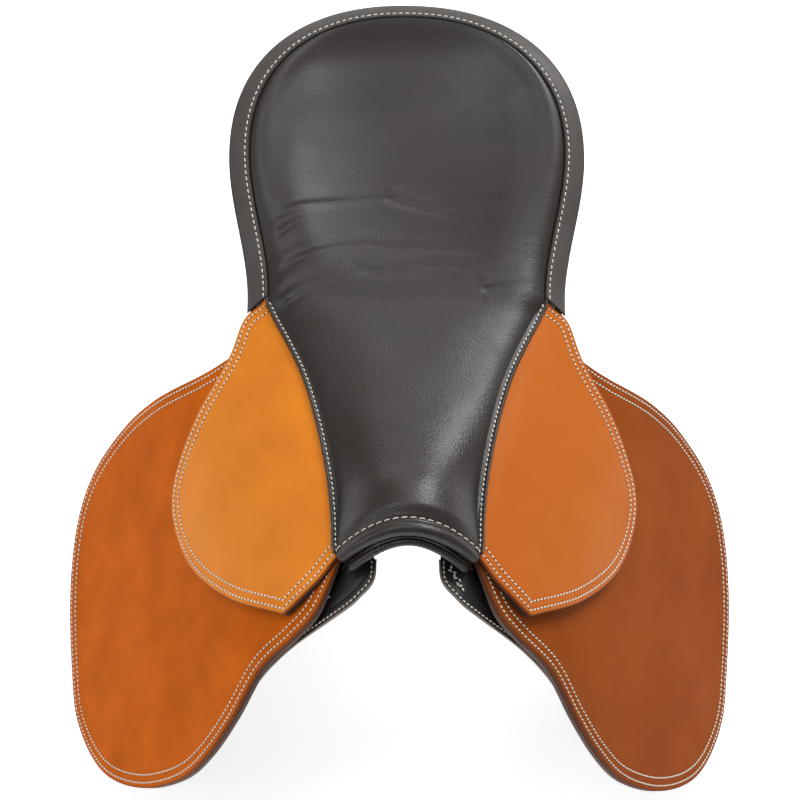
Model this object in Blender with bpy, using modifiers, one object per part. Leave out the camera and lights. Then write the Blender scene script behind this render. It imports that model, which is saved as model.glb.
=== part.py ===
"""An English exercise saddle: laminated tree with steel plates and springs, padded seat, panels,
skirts and flaps of thick leather, stirrup bars with hinged catches, and girth straps on webs.

Frame: X to the saddle's side, -Y to the pommel (front), +Y to the cantle, Z up. Metres.
The origin is where the horse's spine lies under the seat, on the plane of symmetry."""

import math

import bmesh
import bpy
import numpy as np
from mathutils import Matrix

# Seat and rim
RIM_HALF_WIDTH = 0.137
RIM_WAIST_HALF_WIDTH = 0.121
RIM_WIDEST_Y = 0.090
RIM_REAR_Y = 0.214
RIM_FRONT_Y = -0.0225
RIM_TAPER_Y = -0.020
RIM_ROUNDNESS = 2.15
RIM_END_SKEW = 0.48
RIM_SIDE_STEPS = 8
RIM_REAR_STEPS = 15
RIM_LOW_Z = 0.081
RIM_RISE = 0.065
BORDER_WIDTH = 0.0155
BORDER_THICKNESS = 0.0034
BORDER_TILT = 0.0045
BORDER_GAP = 0.0008
COVER_THICKNESS = 0.0018
SEAT_PUFF = 0.009
POMMEL_Y = -0.2290
POMMEL_SWEEP = 0.0090
POMMEL_Z = 0.1215
POMMEL_HALF_WIDTH = 0.054
POMMEL_DROP = 0.034
ROLL_RADIUS = 0.0062
ROLL_HALF_WIDTH = 0.0522
ROLL_DROP = 0.0046
ROLL_END_SHARE = 0.75
PIPING_RADIUS = 0.0022
PIPING_HALF_WIDTH = 0.0535
PIPING_AHEAD = 0.0033
PIPING_DROP = 0.0121
ARCH_STEPS = 21
WELT_RADIUS = 0.0017
FACING_THICKNESS = 0.0040
FACING_LIP = (0.0034, 0.0024)

# Line on which the skirts and flaps fold, at the skirt's top face, right side
FOLD_FRONT = (0.054, -0.244, 0.085)
FOLD_REAR = (0.106, -0.043, 0.079)
SEWN_SLOPE = 19.0
TOP_SLOPE = 36.0
HANG_SLOPE = 60.0
FOLD_STEP = 0.030
FOLD_COUNT = 5

# Leather and web layers, as heights from the skirt's top face
SKIRT_THICKNESS = 0.0032
LINING_THICKNESS = 0.0011
FLAP_THICKNESS = 0.0034
STRAP_THICKNESS = 0.0032
WEB_THICKNESS = 0.0017
SWEAT_FLAP_THICKNESS = 0.0021

# Gaps: between touching pieces, under each lifting leaf, under the strap's stitches and around the bar
EDGE_GAP = 0.0003
LEAF_GAP = 0.0004
STRAP_GAP = 0.0008
STITCH_GAP = 0.0005
BAR_GAP = 0.0007
# How far a cutter reaches past what it cuts
CUT_PAST = 0.002

# Top face of each layer under the skirt
FLAP_TOP_FACE = -SKIRT_THICKNESS - EDGE_GAP - LINING_THICKNESS - LEAF_GAP
STRAP_TOP_FACE = FLAP_TOP_FACE - FLAP_THICKNESS - EDGE_GAP - LINING_THICKNESS - STRAP_GAP
WEB_TOP_FACE = STRAP_TOP_FACE - STRAP_THICKNESS - STITCH_GAP
SWEAT_TOP_FACE = WEB_TOP_FACE - WEB_THICKNESS - LEAF_GAP

# Tree
TREE_THICKNESS = 0.0090
TREE_SIDE_THICKNESS = 0.0090
HEAD_TOP_Z = 0.1115
HEAD_ARCH = 13.0
HEAD_FALL = 0.25
HEAD_FRONT_Y = -0.2285
HEAD_REAR_Y = -0.186
HEAD_HALF_WIDTH = 0.050
PLATE_THICKNESS = 0.0015
HEAD_PLATE_HALF_WIDTH = 0.043
GULLET_PLATE_HALF_WIDTH = 0.041
PLATE_LENGTH = 0.0180
HEAD_PLATE_BACK = 0.0060
GULLET_PLATE_BACK = 0.0035
SPRING_THICKNESS = 0.0015
# How far the springs and the rear bridge lie under the tree, and the shares of its rails that they take
UNDER_TREE = 0.0015
SPRING_SHARES = (0.42, 0.66)
BRIDGE_SHARES = (0.10, 0.50, 0.90)
BRIDGE_THICKNESS = 0.0022
POINT_WIDTH = 0.042
POINT_LENGTH = 0.120
POINT_FRONT = HEAD_FRONT_Y - FOLD_FRONT[1] + 0.002
POCKET_LENGTH = 0.055
POCKET_WALL = 0.0012

# Stirrup bar
BAR_LENGTH = 0.076
BAR_WIDTH = 0.012
BAR_THICKNESS = 0.0050
BAR_SLOT = 0.0078
BRACKET_THICKNESS = 0.0030
BRACKET_WIDTH = 0.022
CATCH_LENGTH = 0.020
CATCH_TIP_RADIUS = 0.0025
CATCH_TIP_STEP = 0.0004
PIN_RADIUS = 0.0016
PIN_CLEARANCE = 0.0001
PIN_SIDES = 16
RIVET_RADIUS = 0.0028
RIVET_HEAD_RADIUS = 0.0046
RIVET_HEAD_HEIGHT = 0.0012
BAR_FRONT = 0.028
BAR_DROP = 0.017
BAR_TOP = -SKIRT_THICKNESS - EDGE_GAP - LINING_THICKNESS - BAR_GAP
BAR_UNDERSIDE = BAR_TOP - BAR_THICKNESS
BRACKET_TOP = BAR_UNDERSIDE - BAR_SLOT
SIDE_PLATE_TOP = BRACKET_TOP - BRACKET_THICKNESS - EDGE_GAP
BAR_END = BAR_FRONT + BAR_LENGTH
RIVET_PLACES = [(BAR_FRONT + 0.018, BAR_DROP), (BAR_FRONT + 0.056, BAR_DROP)]

# Girth straps, and the centre line and length of each
STRAP_WIDTH = 0.025
STRAP_TOP = 0.056
STRAP_FRONT_LENGTH = 0.239
STRAP_REAR_LENGTH = 0.219
HOLE_RADIUS = 0.0025
HOLE_SPACING = 0.022
HOLE_COUNT = 7
HOLE_MARGIN = 0.030
STRAP_CENTRES = (("front", 0.146, STRAP_FRONT_LENGTH), ("rear", 0.186, STRAP_REAR_LENGTH))
WEB_TOP = -0.012
WEB_END = 0.080

# Strainer webs under the foam
WEB_INNER_X = 0.006
WEB_OUTER_X = 0.034
WEB_DROP = 0.0016


# Half-width of the seat ahead of the waist and height of its middle line, by place along it
SEAT_WIDTHS = [(-0.241, 0.0490), (-0.224, 0.0500), (-0.190, 0.0532), (-0.161, 0.0577), (-0.127, 0.0648),
               (-0.092, 0.0747), (-0.074, 0.0817), (-0.056, 0.0895), (-0.043, 0.0955), (-0.029, 0.1010)]
SEAT_HOLLOW = [(-0.229, 0.1215), (-0.205, 0.1175), (-0.170, 0.1090), (-0.130, 0.1000), (-0.080, 0.0930),
               (-0.030, 0.0892), (0.030, 0.0905), (0.090, 0.0990), (0.140, 0.1140), (0.180, 0.1320),
               (0.200, 0.1410)]
SEAT_CORNER_Y = 0.165
# Shares of the seat's half-width and length at which its cover has points
SEAT_COLUMNS = np.sin(np.linspace(-math.pi / 2, math.pi / 2, 13))
SEAT_ROWS = np.array([0, 0.03, 0.08, 0.16, 0.24, 0.32, 0.40, 0.48, 0.56, 0.64, 0.72, 0.80, 0.87, 0.93,
                      0.97, 1.0])
# Place along the seat, height of the foam's underside on its centre line and height at its edge
FOAM_FLOOR = [(-0.170, 0.0760, 0.0810), (-0.120, 0.0745, 0.0810), (-0.060, 0.0715, 0.0800),
              (0.000, 0.0725, 0.0810), (0.040, 0.0760, 0.0870), (0.080, 0.0830, 0.0985),
              (0.120, 0.0930, 0.1120), (0.150, 0.1040, 0.1240), (0.170, 0.1140, 0.1320),
              (0.190, 0.1285, 0.1365), (0.199, 0.1350, 0.1370)]

# Height of the cantle facing's foot, by place
FACING_FOOT = [(-0.045, 0.0560), (0.000, 0.0540), (0.040, 0.0600), (0.080, 0.0700), (0.120, 0.0820),
               (0.170, 0.1000), (0.214, 0.1130)]

# Cut patterns of the leaves, as (along the fold line, down the leaf)
SKIRT_OUTLINE_REAR = [(0.2250, 0.0002), (0.2212, 0.0190), (0.198, 0.042), (0.171, 0.087),
                      (0.139, 0.128), (0.107, 0.140), (0.064, 0.132), (0.020, 0.104), (-0.018, 0.063)]
SKIRT_OUTLINE_FRONT = [(-0.018, 0.063), (-0.0195, 0.044), (-0.012, 0.015), (0.003, 0.0002)]
FLAP_OUTLINE = [(0.204, 0.0002), (0.204, 0.043), (0.209, 0.078), (0.226, 0.138), (0.233, 0.186),
                (0.228, 0.239), (0.204, 0.280), (0.153, 0.319), (0.100, 0.341), (0.057, 0.346),
                (0.002, 0.326), (-0.037, 0.283), (-0.061, 0.228), (-0.065, 0.185), (-0.058, 0.140),
                (-0.043, 0.097), (-0.036, 0.058), (-0.026, 0.030), (0.003, 0.0002)]
FLAP_NOTCH = [(0.022, 0.0002), (0.022, 0.040), (0.028, 0.046), (0.122, 0.046), (0.128, 0.040),
              (0.128, 0.0002)]
SWEAT_OUTLINE = [(-0.0080, -0.0215), (-0.020, -0.020), (-0.024, 0.000), (-0.028, 0.046), (-0.032, 0.090),
                 (-0.046, 0.140), (-0.053, 0.190), (-0.049, 0.230), (-0.028, 0.272), (0.004, 0.301),
                 (0.050, 0.318), (0.095, 0.313), (0.140, 0.293), (0.175, 0.264), (0.192, 0.230),
                 (0.200, 0.190), (0.195, 0.135), (0.184, 0.090), (0.176, 0.040)]
SWEAT_TOP = [(0.132, 0.030), (0.126, 0.050), (0.024, 0.050), (0.016, 0.012), (-0.004, 0.006)]

# Outer and inner edges of the rail's top face, from the head to the widest part
RAIL_OUTER = [(0.053, -0.200, 0.0700), (0.064, -0.170, 0.0684), (0.077, -0.120, 0.0669),
              (0.0925, -0.060, 0.0640), (0.1000, -0.030, 0.0652)]
RAIL_INNER = [(0.028, -0.200, 0.0860), (0.030, -0.170, 0.0720), (0.036, -0.120, 0.0700),
              (0.049, -0.060, 0.0670), (0.058, -0.030, 0.0665)]
CANTLE_INNER = [(0.068, 0.000, 0.0680), (0.078, 0.040, 0.0715), (0.084, 0.080, 0.0785)]
CANTLE_STEPS = 7
CANTLE_INNER_HALF = 0.085
CANTLE_INNER_REAR = 0.068
CANTLE_LOW_Z = 0.080
CANTLE_HIGH_Z = 0.100
RIM_COVER = 0.008
RIM_DROP = 0.010

# Each section runs round the panel: gullet top, top, outer top, outer side, outer foot, foot, gullet foot,
# gullet side. Right half, (x, z) at each y.
PANEL_SECTIONS = [
    (-0.257, [(0.025, 0.070), (0.032, 0.060), (0.042, 0.044), (0.074, 0.008),
              (0.104, -0.028), (0.098, -0.042), (0.078, -0.032), (0.038, 0.018)]),
    (-0.250, [(0.020, 0.077), (0.031, 0.063), (0.040, 0.050), (0.077, 0.012),
              (0.112, -0.030), (0.100, -0.051), (0.074, -0.036), (0.033, 0.020)]),
    (-0.236, [(0.020, 0.077), (0.031, 0.063), (0.040, 0.050), (0.077, 0.012),
              (0.112, -0.030), (0.100, -0.051), (0.074, -0.036), (0.033, 0.020)]),
    (-0.205, [(0.023, 0.064), (0.034, 0.054), (0.044, 0.042), (0.086, 0.009),
              (0.116, -0.030), (0.100, -0.048), (0.072, -0.028), (0.035, 0.022)]),
    (-0.160, [(0.027, 0.054), (0.040, 0.050), (0.052, 0.043), (0.094, 0.012),
              (0.120, -0.026), (0.100, -0.040), (0.064, -0.014), (0.036, 0.026)]),
    (-0.100, [(0.030, 0.052), (0.050, 0.050), (0.068, 0.045), (0.110, 0.018),
              (0.127, -0.012), (0.096, -0.024), (0.054, -0.004), (0.034, 0.026)]),
    (-0.030, [(0.033, 0.051), (0.062, 0.050), (0.092, 0.050), (0.116, 0.040),
              (0.124, 0.010), (0.090, -0.008), (0.050, 0.003), (0.034, 0.028)]),
    (0.040, [(0.033, 0.052), (0.066, 0.052), (0.100, 0.062), (0.1245, 0.060),
             (0.121, 0.026), (0.085, 0.006), (0.047, 0.010), (0.033, 0.032)]),
    (0.110, [(0.033, 0.062), (0.064, 0.062), (0.102, 0.079), (0.1275, 0.082),
             (0.120, 0.046), (0.082, 0.024), (0.045, 0.023), (0.032, 0.044)]),
    (0.165, [(0.032, 0.077), (0.056, 0.082), (0.080, 0.094), (0.104, 0.102),
             (0.098, 0.068), (0.068, 0.046), (0.041, 0.042), (0.031, 0.060)]),
    (0.196, [(0.031, 0.090), (0.044, 0.095), (0.056, 0.101), (0.070, 0.108),
             (0.066, 0.086), (0.051, 0.072), (0.036, 0.068), (0.030, 0.080)]),
]


def clear_scene():
    for obj in list(bpy.data.objects):
        bpy.data.objects.remove(obj)


def new_collection(name):
    made = bpy.data.collections.new(name)
    bpy.context.scene.collection.children.link(made)
    return made


def leather(name, colour, roughness):
    return finish(name, colour, roughness, 0.0)


def finish(name, colour, roughness, metallic):
    made = bpy.data.materials.new(name)
    made.use_nodes = True
    shader = made.node_tree.nodes["Principled BSDF"]
    shader.inputs["Base Color"].default_value = (*colour, 1.0)
    shader.inputs["Roughness"].default_value = roughness
    shader.inputs["Metallic"].default_value = metallic
    return made


clear_scene()
PARTS = new_collection("exercise_saddle")
CUTTERS = new_collection("cutters")
TAN_SKIRT = leather("tan_skirt_leather", (0.70, 0.25, 0.05), 0.45)
TAN_FLAP = leather("tan_flap_leather", (0.52, 0.17, 0.035), 0.5)
SEAT_LEATHER = leather("seat_leather", (0.045, 0.04, 0.037), 0.4)
BLACK_LEATHER = leather("black_leather", (0.03, 0.028, 0.026), 0.45)
LINING_LEATHER = leather("lining_leather", (0.06, 0.035, 0.025), 0.7)
STRAP_LEATHER = leather("strap_leather", (0.12, 0.05, 0.025), 0.5)
WEBBING = leather("webbing", (0.55, 0.48, 0.36), 0.9)
FOAM = leather("foam", (0.75, 0.70, 0.55), 0.9)
BEECH = leather("laminated_beech", (0.55, 0.36, 0.18), 0.55)
STEEL = finish("steel", (0.55, 0.56, 0.58), 0.35, 1.0)


# Curves and formulas

def ease(t):
    """0 below 0, 1 above 1 and a smooth S between."""
    t = np.clip(t, 0.0, 1.0)
    return t * t * (3.0 - 2.0 * t)


def through(knots, at):
    """A smooth curve through knots, a list of (place, value, ...), read at the given places."""
    knots = np.array(knots, float)
    x = knots[:, 0]
    at = np.clip(np.asarray(at, float), x[0], x[-1])
    slopes = np.gradient(knots[:, 1:], x, axis=0)
    i = np.clip(np.searchsorted(x, at, side="right") - 1, 0, len(x) - 2)
    width = (x[i + 1] - x[i])
    t = ((at - x[i]) / width)[..., None]
    width = width[..., None]
    p, q = knots[i, 1:], knots[i + 1, 1:]
    u, v = slopes[i] * width, slopes[i + 1] * width
    return ((2 * t**3 - 3 * t**2 + 1) * p + (t**3 - 2 * t**2 + t) * u
            + (-2 * t**3 + 3 * t**2) * q + (t**3 - t**2) * v)


def smooth_outline(points, steps):
    """Points on a smooth open curve through the given ones, steps to each stretch, ends kept."""
    points = np.array(points, float)
    padded = np.vstack([2 * points[0] - points[1], points, 2 * points[-1] - points[-2]])
    t = np.linspace(0.0, 1.0, steps, endpoint=False)[:, None]
    runs = []
    for a, b, c, d in zip(padded, padded[1:], padded[2:], padded[3:]):
        runs.append(0.5 * (2 * b + (c - a) * t + (2 * a - 5 * b + 4 * c - d) * t**2
                           + (3 * b - a - 3 * c + d) * t**3))
    return np.vstack(runs + [points[-1:]])


def rim_half_width(y, inset=0.0):
    """Half-width of the seat's rim at y: a smooth taper to the waist and a squarish oval behind."""
    y = np.asarray(y, float)
    wide = RIM_HALF_WIDTH - inset
    taper = (y - RIM_TAPER_Y) / (RIM_WIDEST_Y - RIM_TAPER_Y)
    ahead = RIM_WAIST_HALF_WIDTH - inset + (RIM_HALF_WIDTH - RIM_WAIST_HALF_WIDTH) * ease(taper)
    depth = RIM_REAR_Y - RIM_WIDEST_Y - inset
    share = np.clip((y - RIM_WIDEST_Y) / depth, 0.0, 1.0)
    behind = wide * (1.0 - share**RIM_ROUNDNESS) ** (1.0 / RIM_ROUNDNESS)
    return np.where(y < RIM_WIDEST_Y, ahead, behind)


def rim_height(y):
    return RIM_LOW_Z + RIM_RISE * ease((np.asarray(y, float) + 0.05) / 0.27)


def rim_points(inset, rise):
    """Points along the rim's right half, from the waist to the rear centre. The outer edge starts farther
    forward, so that the end is square to the fold line."""
    start = RIM_FRONT_Y - RIM_END_SKEW * (BORDER_WIDTH - inset)
    side = np.linspace(start, RIM_WIDEST_Y, RIM_SIDE_STEPS, endpoint=False)
    angle = np.linspace(0.0, math.pi / 2, RIM_REAR_STEPS)
    depth = RIM_REAR_Y - RIM_WIDEST_Y - inset
    rear_y = RIM_WIDEST_Y + depth * np.sin(angle) ** (2.0 / RIM_ROUNDNESS)
    rear_x = (RIM_HALF_WIDTH - inset) * np.cos(angle) ** (2.0 / RIM_ROUNDNESS)
    x = np.concatenate([rim_half_width(side, inset), rear_x])
    y = np.concatenate([side, rear_y])
    x[-1] = 0.0
    return np.stack([x, y, rim_height(y) + rise], axis=1)


def mirrored_run(points):
    """A right-hand run that ends on the plane of symmetry, carried on to the left."""
    return np.vstack([points, points[-2::-1] * [-1, 1, 1]])


# The leaf form: a ruled surface that falls away from the fold line in flat strips, so every
# layer of leather that lies on it keeps an exact gap to the next.

FOLD_LINES = [FOLD_STEP * i for i in range(FOLD_COUNT + 1)]
SLOPE_STEP = (HANG_SLOPE - TOP_SLOPE) / FOLD_COUNT
SLOPES = [math.radians(SEWN_SLOPE)]
SLOPES += [math.radians(TOP_SLOPE + SLOPE_STEP * (i + 0.5)) for i in range(FOLD_COUNT)]
SLOPES += [math.radians(HANG_SLOPE)]
FAR = 1.0


def section_nodes():
    """Places of the fold lines across the leaf, as (out, up), and the mitred normal at each."""
    nodes = [np.array([-FAR * math.cos(SLOPES[0]), FAR * math.sin(SLOPES[0])]), np.zeros(2)]
    for slope in SLOPES[1:-1]:
        nodes.append(nodes[-1] + FOLD_STEP * np.array([math.cos(slope), -math.sin(slope)]))
    nodes.append(nodes[-1] + FAR * np.array([math.cos(SLOPES[-1]), -math.sin(SLOPES[-1])]))
    normals = [np.array([math.sin(SLOPES[0]), math.cos(SLOPES[0])])]
    for a, b in zip(SLOPES, SLOPES[1:]):
        mean = (a + b) / 2
        normals.append(np.array([math.sin(mean), math.cos(mean)]) / math.cos((b - a) / 2))
    normals.append(np.array([math.sin(SLOPES[-1]), math.cos(SLOPES[-1])]))
    return np.array(nodes), np.array(normals)


NODES, NORMALS = section_nodes()
NODE_PLACES = np.array([-FAR] + FOLD_LINES + [FOLD_LINES[-1] + FAR])


def leaf_axes():
    """Unit vectors of the right-hand leaf: along the fold line, outward and up."""
    along = np.array(FOLD_REAR) - np.array(FOLD_FRONT)
    along /= np.linalg.norm(along)
    out = np.array([1.0, 0.0, 0.0]) - along[0] * along
    out /= np.linalg.norm(out)
    up = np.cross(out, along)
    return along, out, up * math.copysign(1.0, up[2])


ALONG, OUT, UP = leaf_axes()


def leaf(points, side):
    """Pattern points (along the fold, down the leaf, height over the skirt's top face) in space."""
    a, d, h = np.asarray(points, float).T
    i = np.clip(np.searchsorted(NODE_PLACES, d, side="right") - 1, 0, len(NODE_PLACES) - 2)
    t = ((d - NODE_PLACES[i]) / (NODE_PLACES[i + 1] - NODE_PLACES[i]))[:, None]
    low = NODES[i] + h[:, None] * NORMALS[i]
    high = NODES[i + 1] + h[:, None] * NORMALS[i + 1]
    across = low + (high - low) * t
    place = np.array(FOLD_FRONT) + a[:, None] * ALONG + across[:, :1] * OUT + across[:, 1:] * UP
    return place * [side, 1, 1]


def sewn_place(x, y):
    """The pattern place (along, down) of a point inboard of the fold line, from its plan view."""
    rel = np.stack([x - FOLD_FRONT[0], y - FOLD_FRONT[1]], axis=-1)
    return np.stack([rel @ ALONG[:2], (rel @ OUT[:2]) / math.cos(SLOPES[0])], axis=-1)


def seat_half_width(y):
    y = np.asarray(y, float)
    ahead = through(SEAT_WIDTHS, y)[..., 0]
    behind = rim_half_width(y, BORDER_WIDTH + BORDER_GAP)
    return ahead + (behind - ahead) * ease((y + 0.034) / 0.012)


def seat_edge_height(y):
    """The seat's edge follows the sewn leather ahead of the waist and the rim behind it."""
    y = np.asarray(y, float)
    along, down = np.moveaxis(sewn_place(seat_half_width(y), y), -1, 0)
    ahead = FOLD_FRONT[2] + along * ALONG[2] - down * math.sin(SLOPES[0]) + 0.001
    behind = rim_height(y) + 0.001
    return ahead + (behind - ahead) * ease((y + 0.050) / 0.040)


def seat_grid(columns, rows, sink):
    """The padded top: crowned across the narrow front, dished behind, rounded over at its edge."""
    depth = RIM_REAR_Y - BORDER_WIDTH - BORDER_GAP - RIM_WIDEST_Y
    wide = RIM_HALF_WIDTH - BORDER_WIDTH - BORDER_GAP
    corner = seat_half_width(np.array([SEAT_CORNER_Y]))[0]
    side_y = (POMMEL_Y + (SEAT_CORNER_Y - POMMEL_Y) * rows)[:, None]
    sweep = POMMEL_SWEEP * (1 - rows[:, None]) ** 3
    x = columns[None, :] * seat_half_width(side_y - sweep)
    arc_x = np.abs(columns)[None, :] * corner / wide
    arc = RIM_WIDEST_Y + depth * (1 - arc_x**RIM_ROUNDNESS) ** (1 / RIM_ROUNDNESS) - SEAT_CORNER_Y
    y = side_y + arc * rows[:, None] ** 5 - sweep * columns**2
    u = np.abs(columns)[None, :] + 0 * y
    edge = seat_edge_height(side_y - sweep) + 0 * y
    hollow = through(SEAT_HOLLOW, y)[..., 0]
    crown = hollow + (edge + SEAT_PUFF - hollow) * u**2.2 - SEAT_PUFF * u**12
    front = POMMEL_Z - (POMMEL_Z - edge) * u**2
    z = front + (crown - front) * ease((side_y - POMMEL_Y) / 0.05)
    last = seat_edge_height(y)
    z = z + (last - z) * ease((rows[:, None] - 0.97) / 0.03)
    return np.stack([x, y, z - sink], axis=2)


# Making objects

def finish_mesh(name, mesh, material, folder=None):
    mesh.name = name
    obj = bpy.data.objects.new(name, mesh)
    (folder or PARTS).objects.link(obj)
    mesh.materials.clear()
    mesh.materials.append(material)
    return obj


def outward(mesh):
    """Merges a mesh's doubled points and turns its faces outward."""
    bm = bmesh.new()
    bm.from_mesh(mesh)
    bmesh.ops.remove_doubles(bm, verts=bm.verts, dist=1e-7)
    bmesh.ops.recalc_face_normals(bm, faces=bm.faces)
    bm.to_mesh(mesh)
    bm.free()


def mesh_of(obj):
    """The object's evaluated mesh in world space; the object is removed."""
    bpy.context.view_layer.update()
    mesh = bpy.data.meshes.new_from_object(obj.evaluated_get(bpy.context.evaluated_depsgraph_get()))
    mesh.transform(obj.matrix_world)
    bpy.data.objects.remove(obj)
    return mesh


def plate_mesh(loops, low, high, folds=()):
    """A flat outline with its holes, from a filled 2D curve, low to high, cut along the fold lines."""
    curve = bpy.data.curves.new("outline", "CURVE")
    curve.dimensions = "2D"
    curve.fill_mode = "BOTH"
    curve.extrude = (high - low) / 2
    for loop in loops:
        spline = curve.splines.new("POLY")
        spline.points.add(len(loop) - 1)
        for point, (x, y) in zip(spline.points, loop):
            point.co = (x, y, 0.0, 1.0)
        spline.use_cyclic_u = True
    obj = bpy.data.objects.new("outline", curve)
    bpy.context.scene.collection.objects.link(obj)
    obj.location.z = (low + high) / 2
    mesh = mesh_of(obj)
    outward(mesh)
    bm = bmesh.new()
    bm.from_mesh(mesh)
    for line in folds:
        bmesh.ops.bisect_plane(bm, geom=bm.verts[:] + bm.edges[:] + bm.faces[:], dist=1e-6,
                               plane_co=(0, line, 0), plane_no=(0, 1, 0))
    bm.to_mesh(mesh)
    bm.free()
    return mesh


def place_vertices(mesh, change):
    """Moves every vertex through a function of the whole array, and turns the faces outward."""
    points = np.empty(len(mesh.vertices) * 3)
    mesh.vertices.foreach_get("co", points)
    mesh.vertices.foreach_set("co", change(points.reshape(-1, 3)).astype(np.float32).ravel())
    outward(mesh)
    mesh.update()


def leaf_plate(name, side, loops, low, high, material, folder=None):
    """A layer cut flat from its pattern, then bent over the leaf form."""
    mesh = plate_mesh(loops, low, high, FOLD_LINES)
    place_vertices(mesh, lambda points: leaf(points, side))
    return finish_mesh(name, mesh, material, folder)


def grid_mesh(grid, closed_across=False):
    """A mesh on a grid of points, rows by columns."""
    rows, columns = grid.shape[:2]
    index = np.arange(rows * columns).reshape(rows, columns)
    if closed_across:
        index = np.hstack([index, index[:, :1]])
    quads = np.stack([index[:-1, :-1], index[:-1, 1:], index[1:, 1:], index[1:, :-1]], axis=-1)
    mesh = bpy.data.meshes.new("grid")
    mesh.from_pydata(grid.reshape(-1, 3).tolist(), [], quads.reshape(-1, 4).tolist())
    return mesh


def sheet(name, grid, thickness, material, offset=-1.0):
    """An open surface with a wall; a positive offset puts the wall on the side that its normals face."""
    obj = finish_mesh(name, grid_mesh(np.asarray(grid)), material)
    wall = obj.modifiers.new("wall", "SOLIDIFY")
    wall.thickness = thickness
    wall.offset = offset
    wall.use_even_offset = True
    wall.use_quality_normals = True
    return obj


def block(name, top, bottom, material, folder=None):
    """A solid between two grids of the same size, with its four sides closed."""
    top, bottom = np.asarray(top), np.asarray(bottom)
    rows, columns = top.shape[:2]
    index = np.arange(rows * columns).reshape(rows, columns)
    base = index + rows * columns
    faces = []
    for grid, turn in ((index, 1), (base, -1)):
        quads = np.stack([grid[:-1, :-1], grid[:-1, 1:], grid[1:, 1:], grid[1:, :-1]], axis=-1)
        faces += quads.reshape(-1, 4)[:, ::turn].tolist()
    ring = np.concatenate([index[0, :-1], index[:-1, -1], index[-1, :0:-1], index[:0:-1, 0]])
    low = np.concatenate([base[0, :-1], base[:-1, -1], base[-1, :0:-1], base[:0:-1, 0]])
    faces += np.stack([ring, np.roll(ring, -1), np.roll(low, -1), low], axis=1).tolist()
    mesh = bpy.data.meshes.new(name)
    mesh.from_pydata(np.vstack([top.reshape(-1, 3), bottom.reshape(-1, 3)]).tolist(), [], faces)
    outward(mesh)
    return finish_mesh(name, mesh, material, folder)


def tube(name, points, radius, material, sides=2, end_share=1.0):
    """A round cord along the points, thinner at its ends by a share."""
    curve = bpy.data.curves.new(name, "CURVE")
    curve.dimensions = "3D"
    curve.bevel_depth = radius
    curve.bevel_resolution = sides
    curve.use_fill_caps = True
    spline = curve.splines.new("POLY")
    spline.points.add(len(points) - 1)
    shares = 1 - (1 - end_share) * np.linspace(-1, 1, len(points)) ** 2
    for point, place, share in zip(spline.points, points, shares):
        point.co = (*place, 1.0)
        point.radius = share
    obj = bpy.data.objects.new(name, curve)
    PARTS.objects.link(obj)
    curve.materials.append(material)
    return obj


def combine(obj, other, operation):
    change = obj.modifiers.new(operation.lower(), "BOOLEAN")
    change.operation = operation
    change.object = other
    change.solver = "EXACT"
    other.hide_render = True
    other.display_type = "WIRE"


SIDES = (("left", -1), ("right", 1))


def arc_outline(points, steps):
    return [tuple(p) for p in smooth_outline(points, steps)]


def circle(centre, radius, sides):
    turn = [2 * math.pi * i / sides for i in range(sides)]
    return [(centre[0] + radius * math.cos(t), centre[1] + radius * math.sin(t)) for t in turn]


def offset_grid(grid, distance):
    """A grid moved along its own normals, which point up."""
    grid = np.asarray(grid, float)
    normal = np.cross(np.gradient(grid, axis=0), np.gradient(grid, axis=1))
    normal *= np.sign(normal[..., 2:])
    return grid + distance * normal / np.linalg.norm(normal, axis=2, keepdims=True)


# Tree

def head_grid(half_width, front, rear, columns, rows, rise=0.0):
    """The arch of the head: a parabola across that falls towards the rear."""
    x = np.linspace(-half_width, half_width, columns)
    y = np.linspace(front, rear, rows)[:, None]
    z = HEAD_TOP_Z - HEAD_ARCH * x**2 - HEAD_FALL * (y - HEAD_FRONT_Y)
    grid = np.stack([np.broadcast_to(x, z.shape), np.broadcast_to(y, z.shape), z], axis=2)
    return offset_grid(grid, rise)


def rail_edges():
    """Outer and inner edges of the right half of the ring of rails and cantle."""
    cantle_y = np.array([row[1] for row in CANTLE_INNER])
    side = np.stack([rim_half_width(cantle_y, RIM_COVER), cantle_y, rim_height(cantle_y) - RIM_DROP], axis=1)
    angle = np.linspace(0.12, math.pi / 2, CANTLE_STEPS)
    depth = RIM_REAR_Y - RIM_WIDEST_Y - RIM_COVER
    power = 2.0 / RIM_ROUNDNESS
    rear_y = RIM_WIDEST_Y + depth * np.sin(angle) ** power
    rear_x = (RIM_HALF_WIDTH - RIM_COVER) * np.cos(angle) ** power
    rear_x[-1] = 0.0
    rear = np.stack([rear_x, rear_y, rim_height(rear_y) - RIM_DROP], axis=1)
    inner_x = CANTLE_INNER_HALF * np.cos(angle)
    inner_x[-1] = 0.0
    inner_z = CANTLE_LOW_Z + (CANTLE_HIGH_Z - CANTLE_LOW_Z) * np.sin(angle) ** 2
    inner = np.stack([inner_x, RIM_WIDEST_Y + CANTLE_INNER_REAR * np.sin(angle), inner_z], axis=1)
    outer = np.vstack([RAIL_OUTER, side, rear])
    inner = np.vstack([RAIL_INNER, CANTLE_INNER, inner])
    return outer, inner


def ring_grid(across, rise=0.0, first=0, last=None):
    """The ring's top face between shares of its width, from right to left round the cantle."""
    outer, inner = rail_edges()
    outer, inner = mirrored_run(outer), mirrored_run(inner)
    t = np.asarray(across)[None, :, None]
    grid = outer[:, None] * (1 - t) + inner[:, None] * t + [0, 0, rise]
    return grid[first:last]


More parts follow.
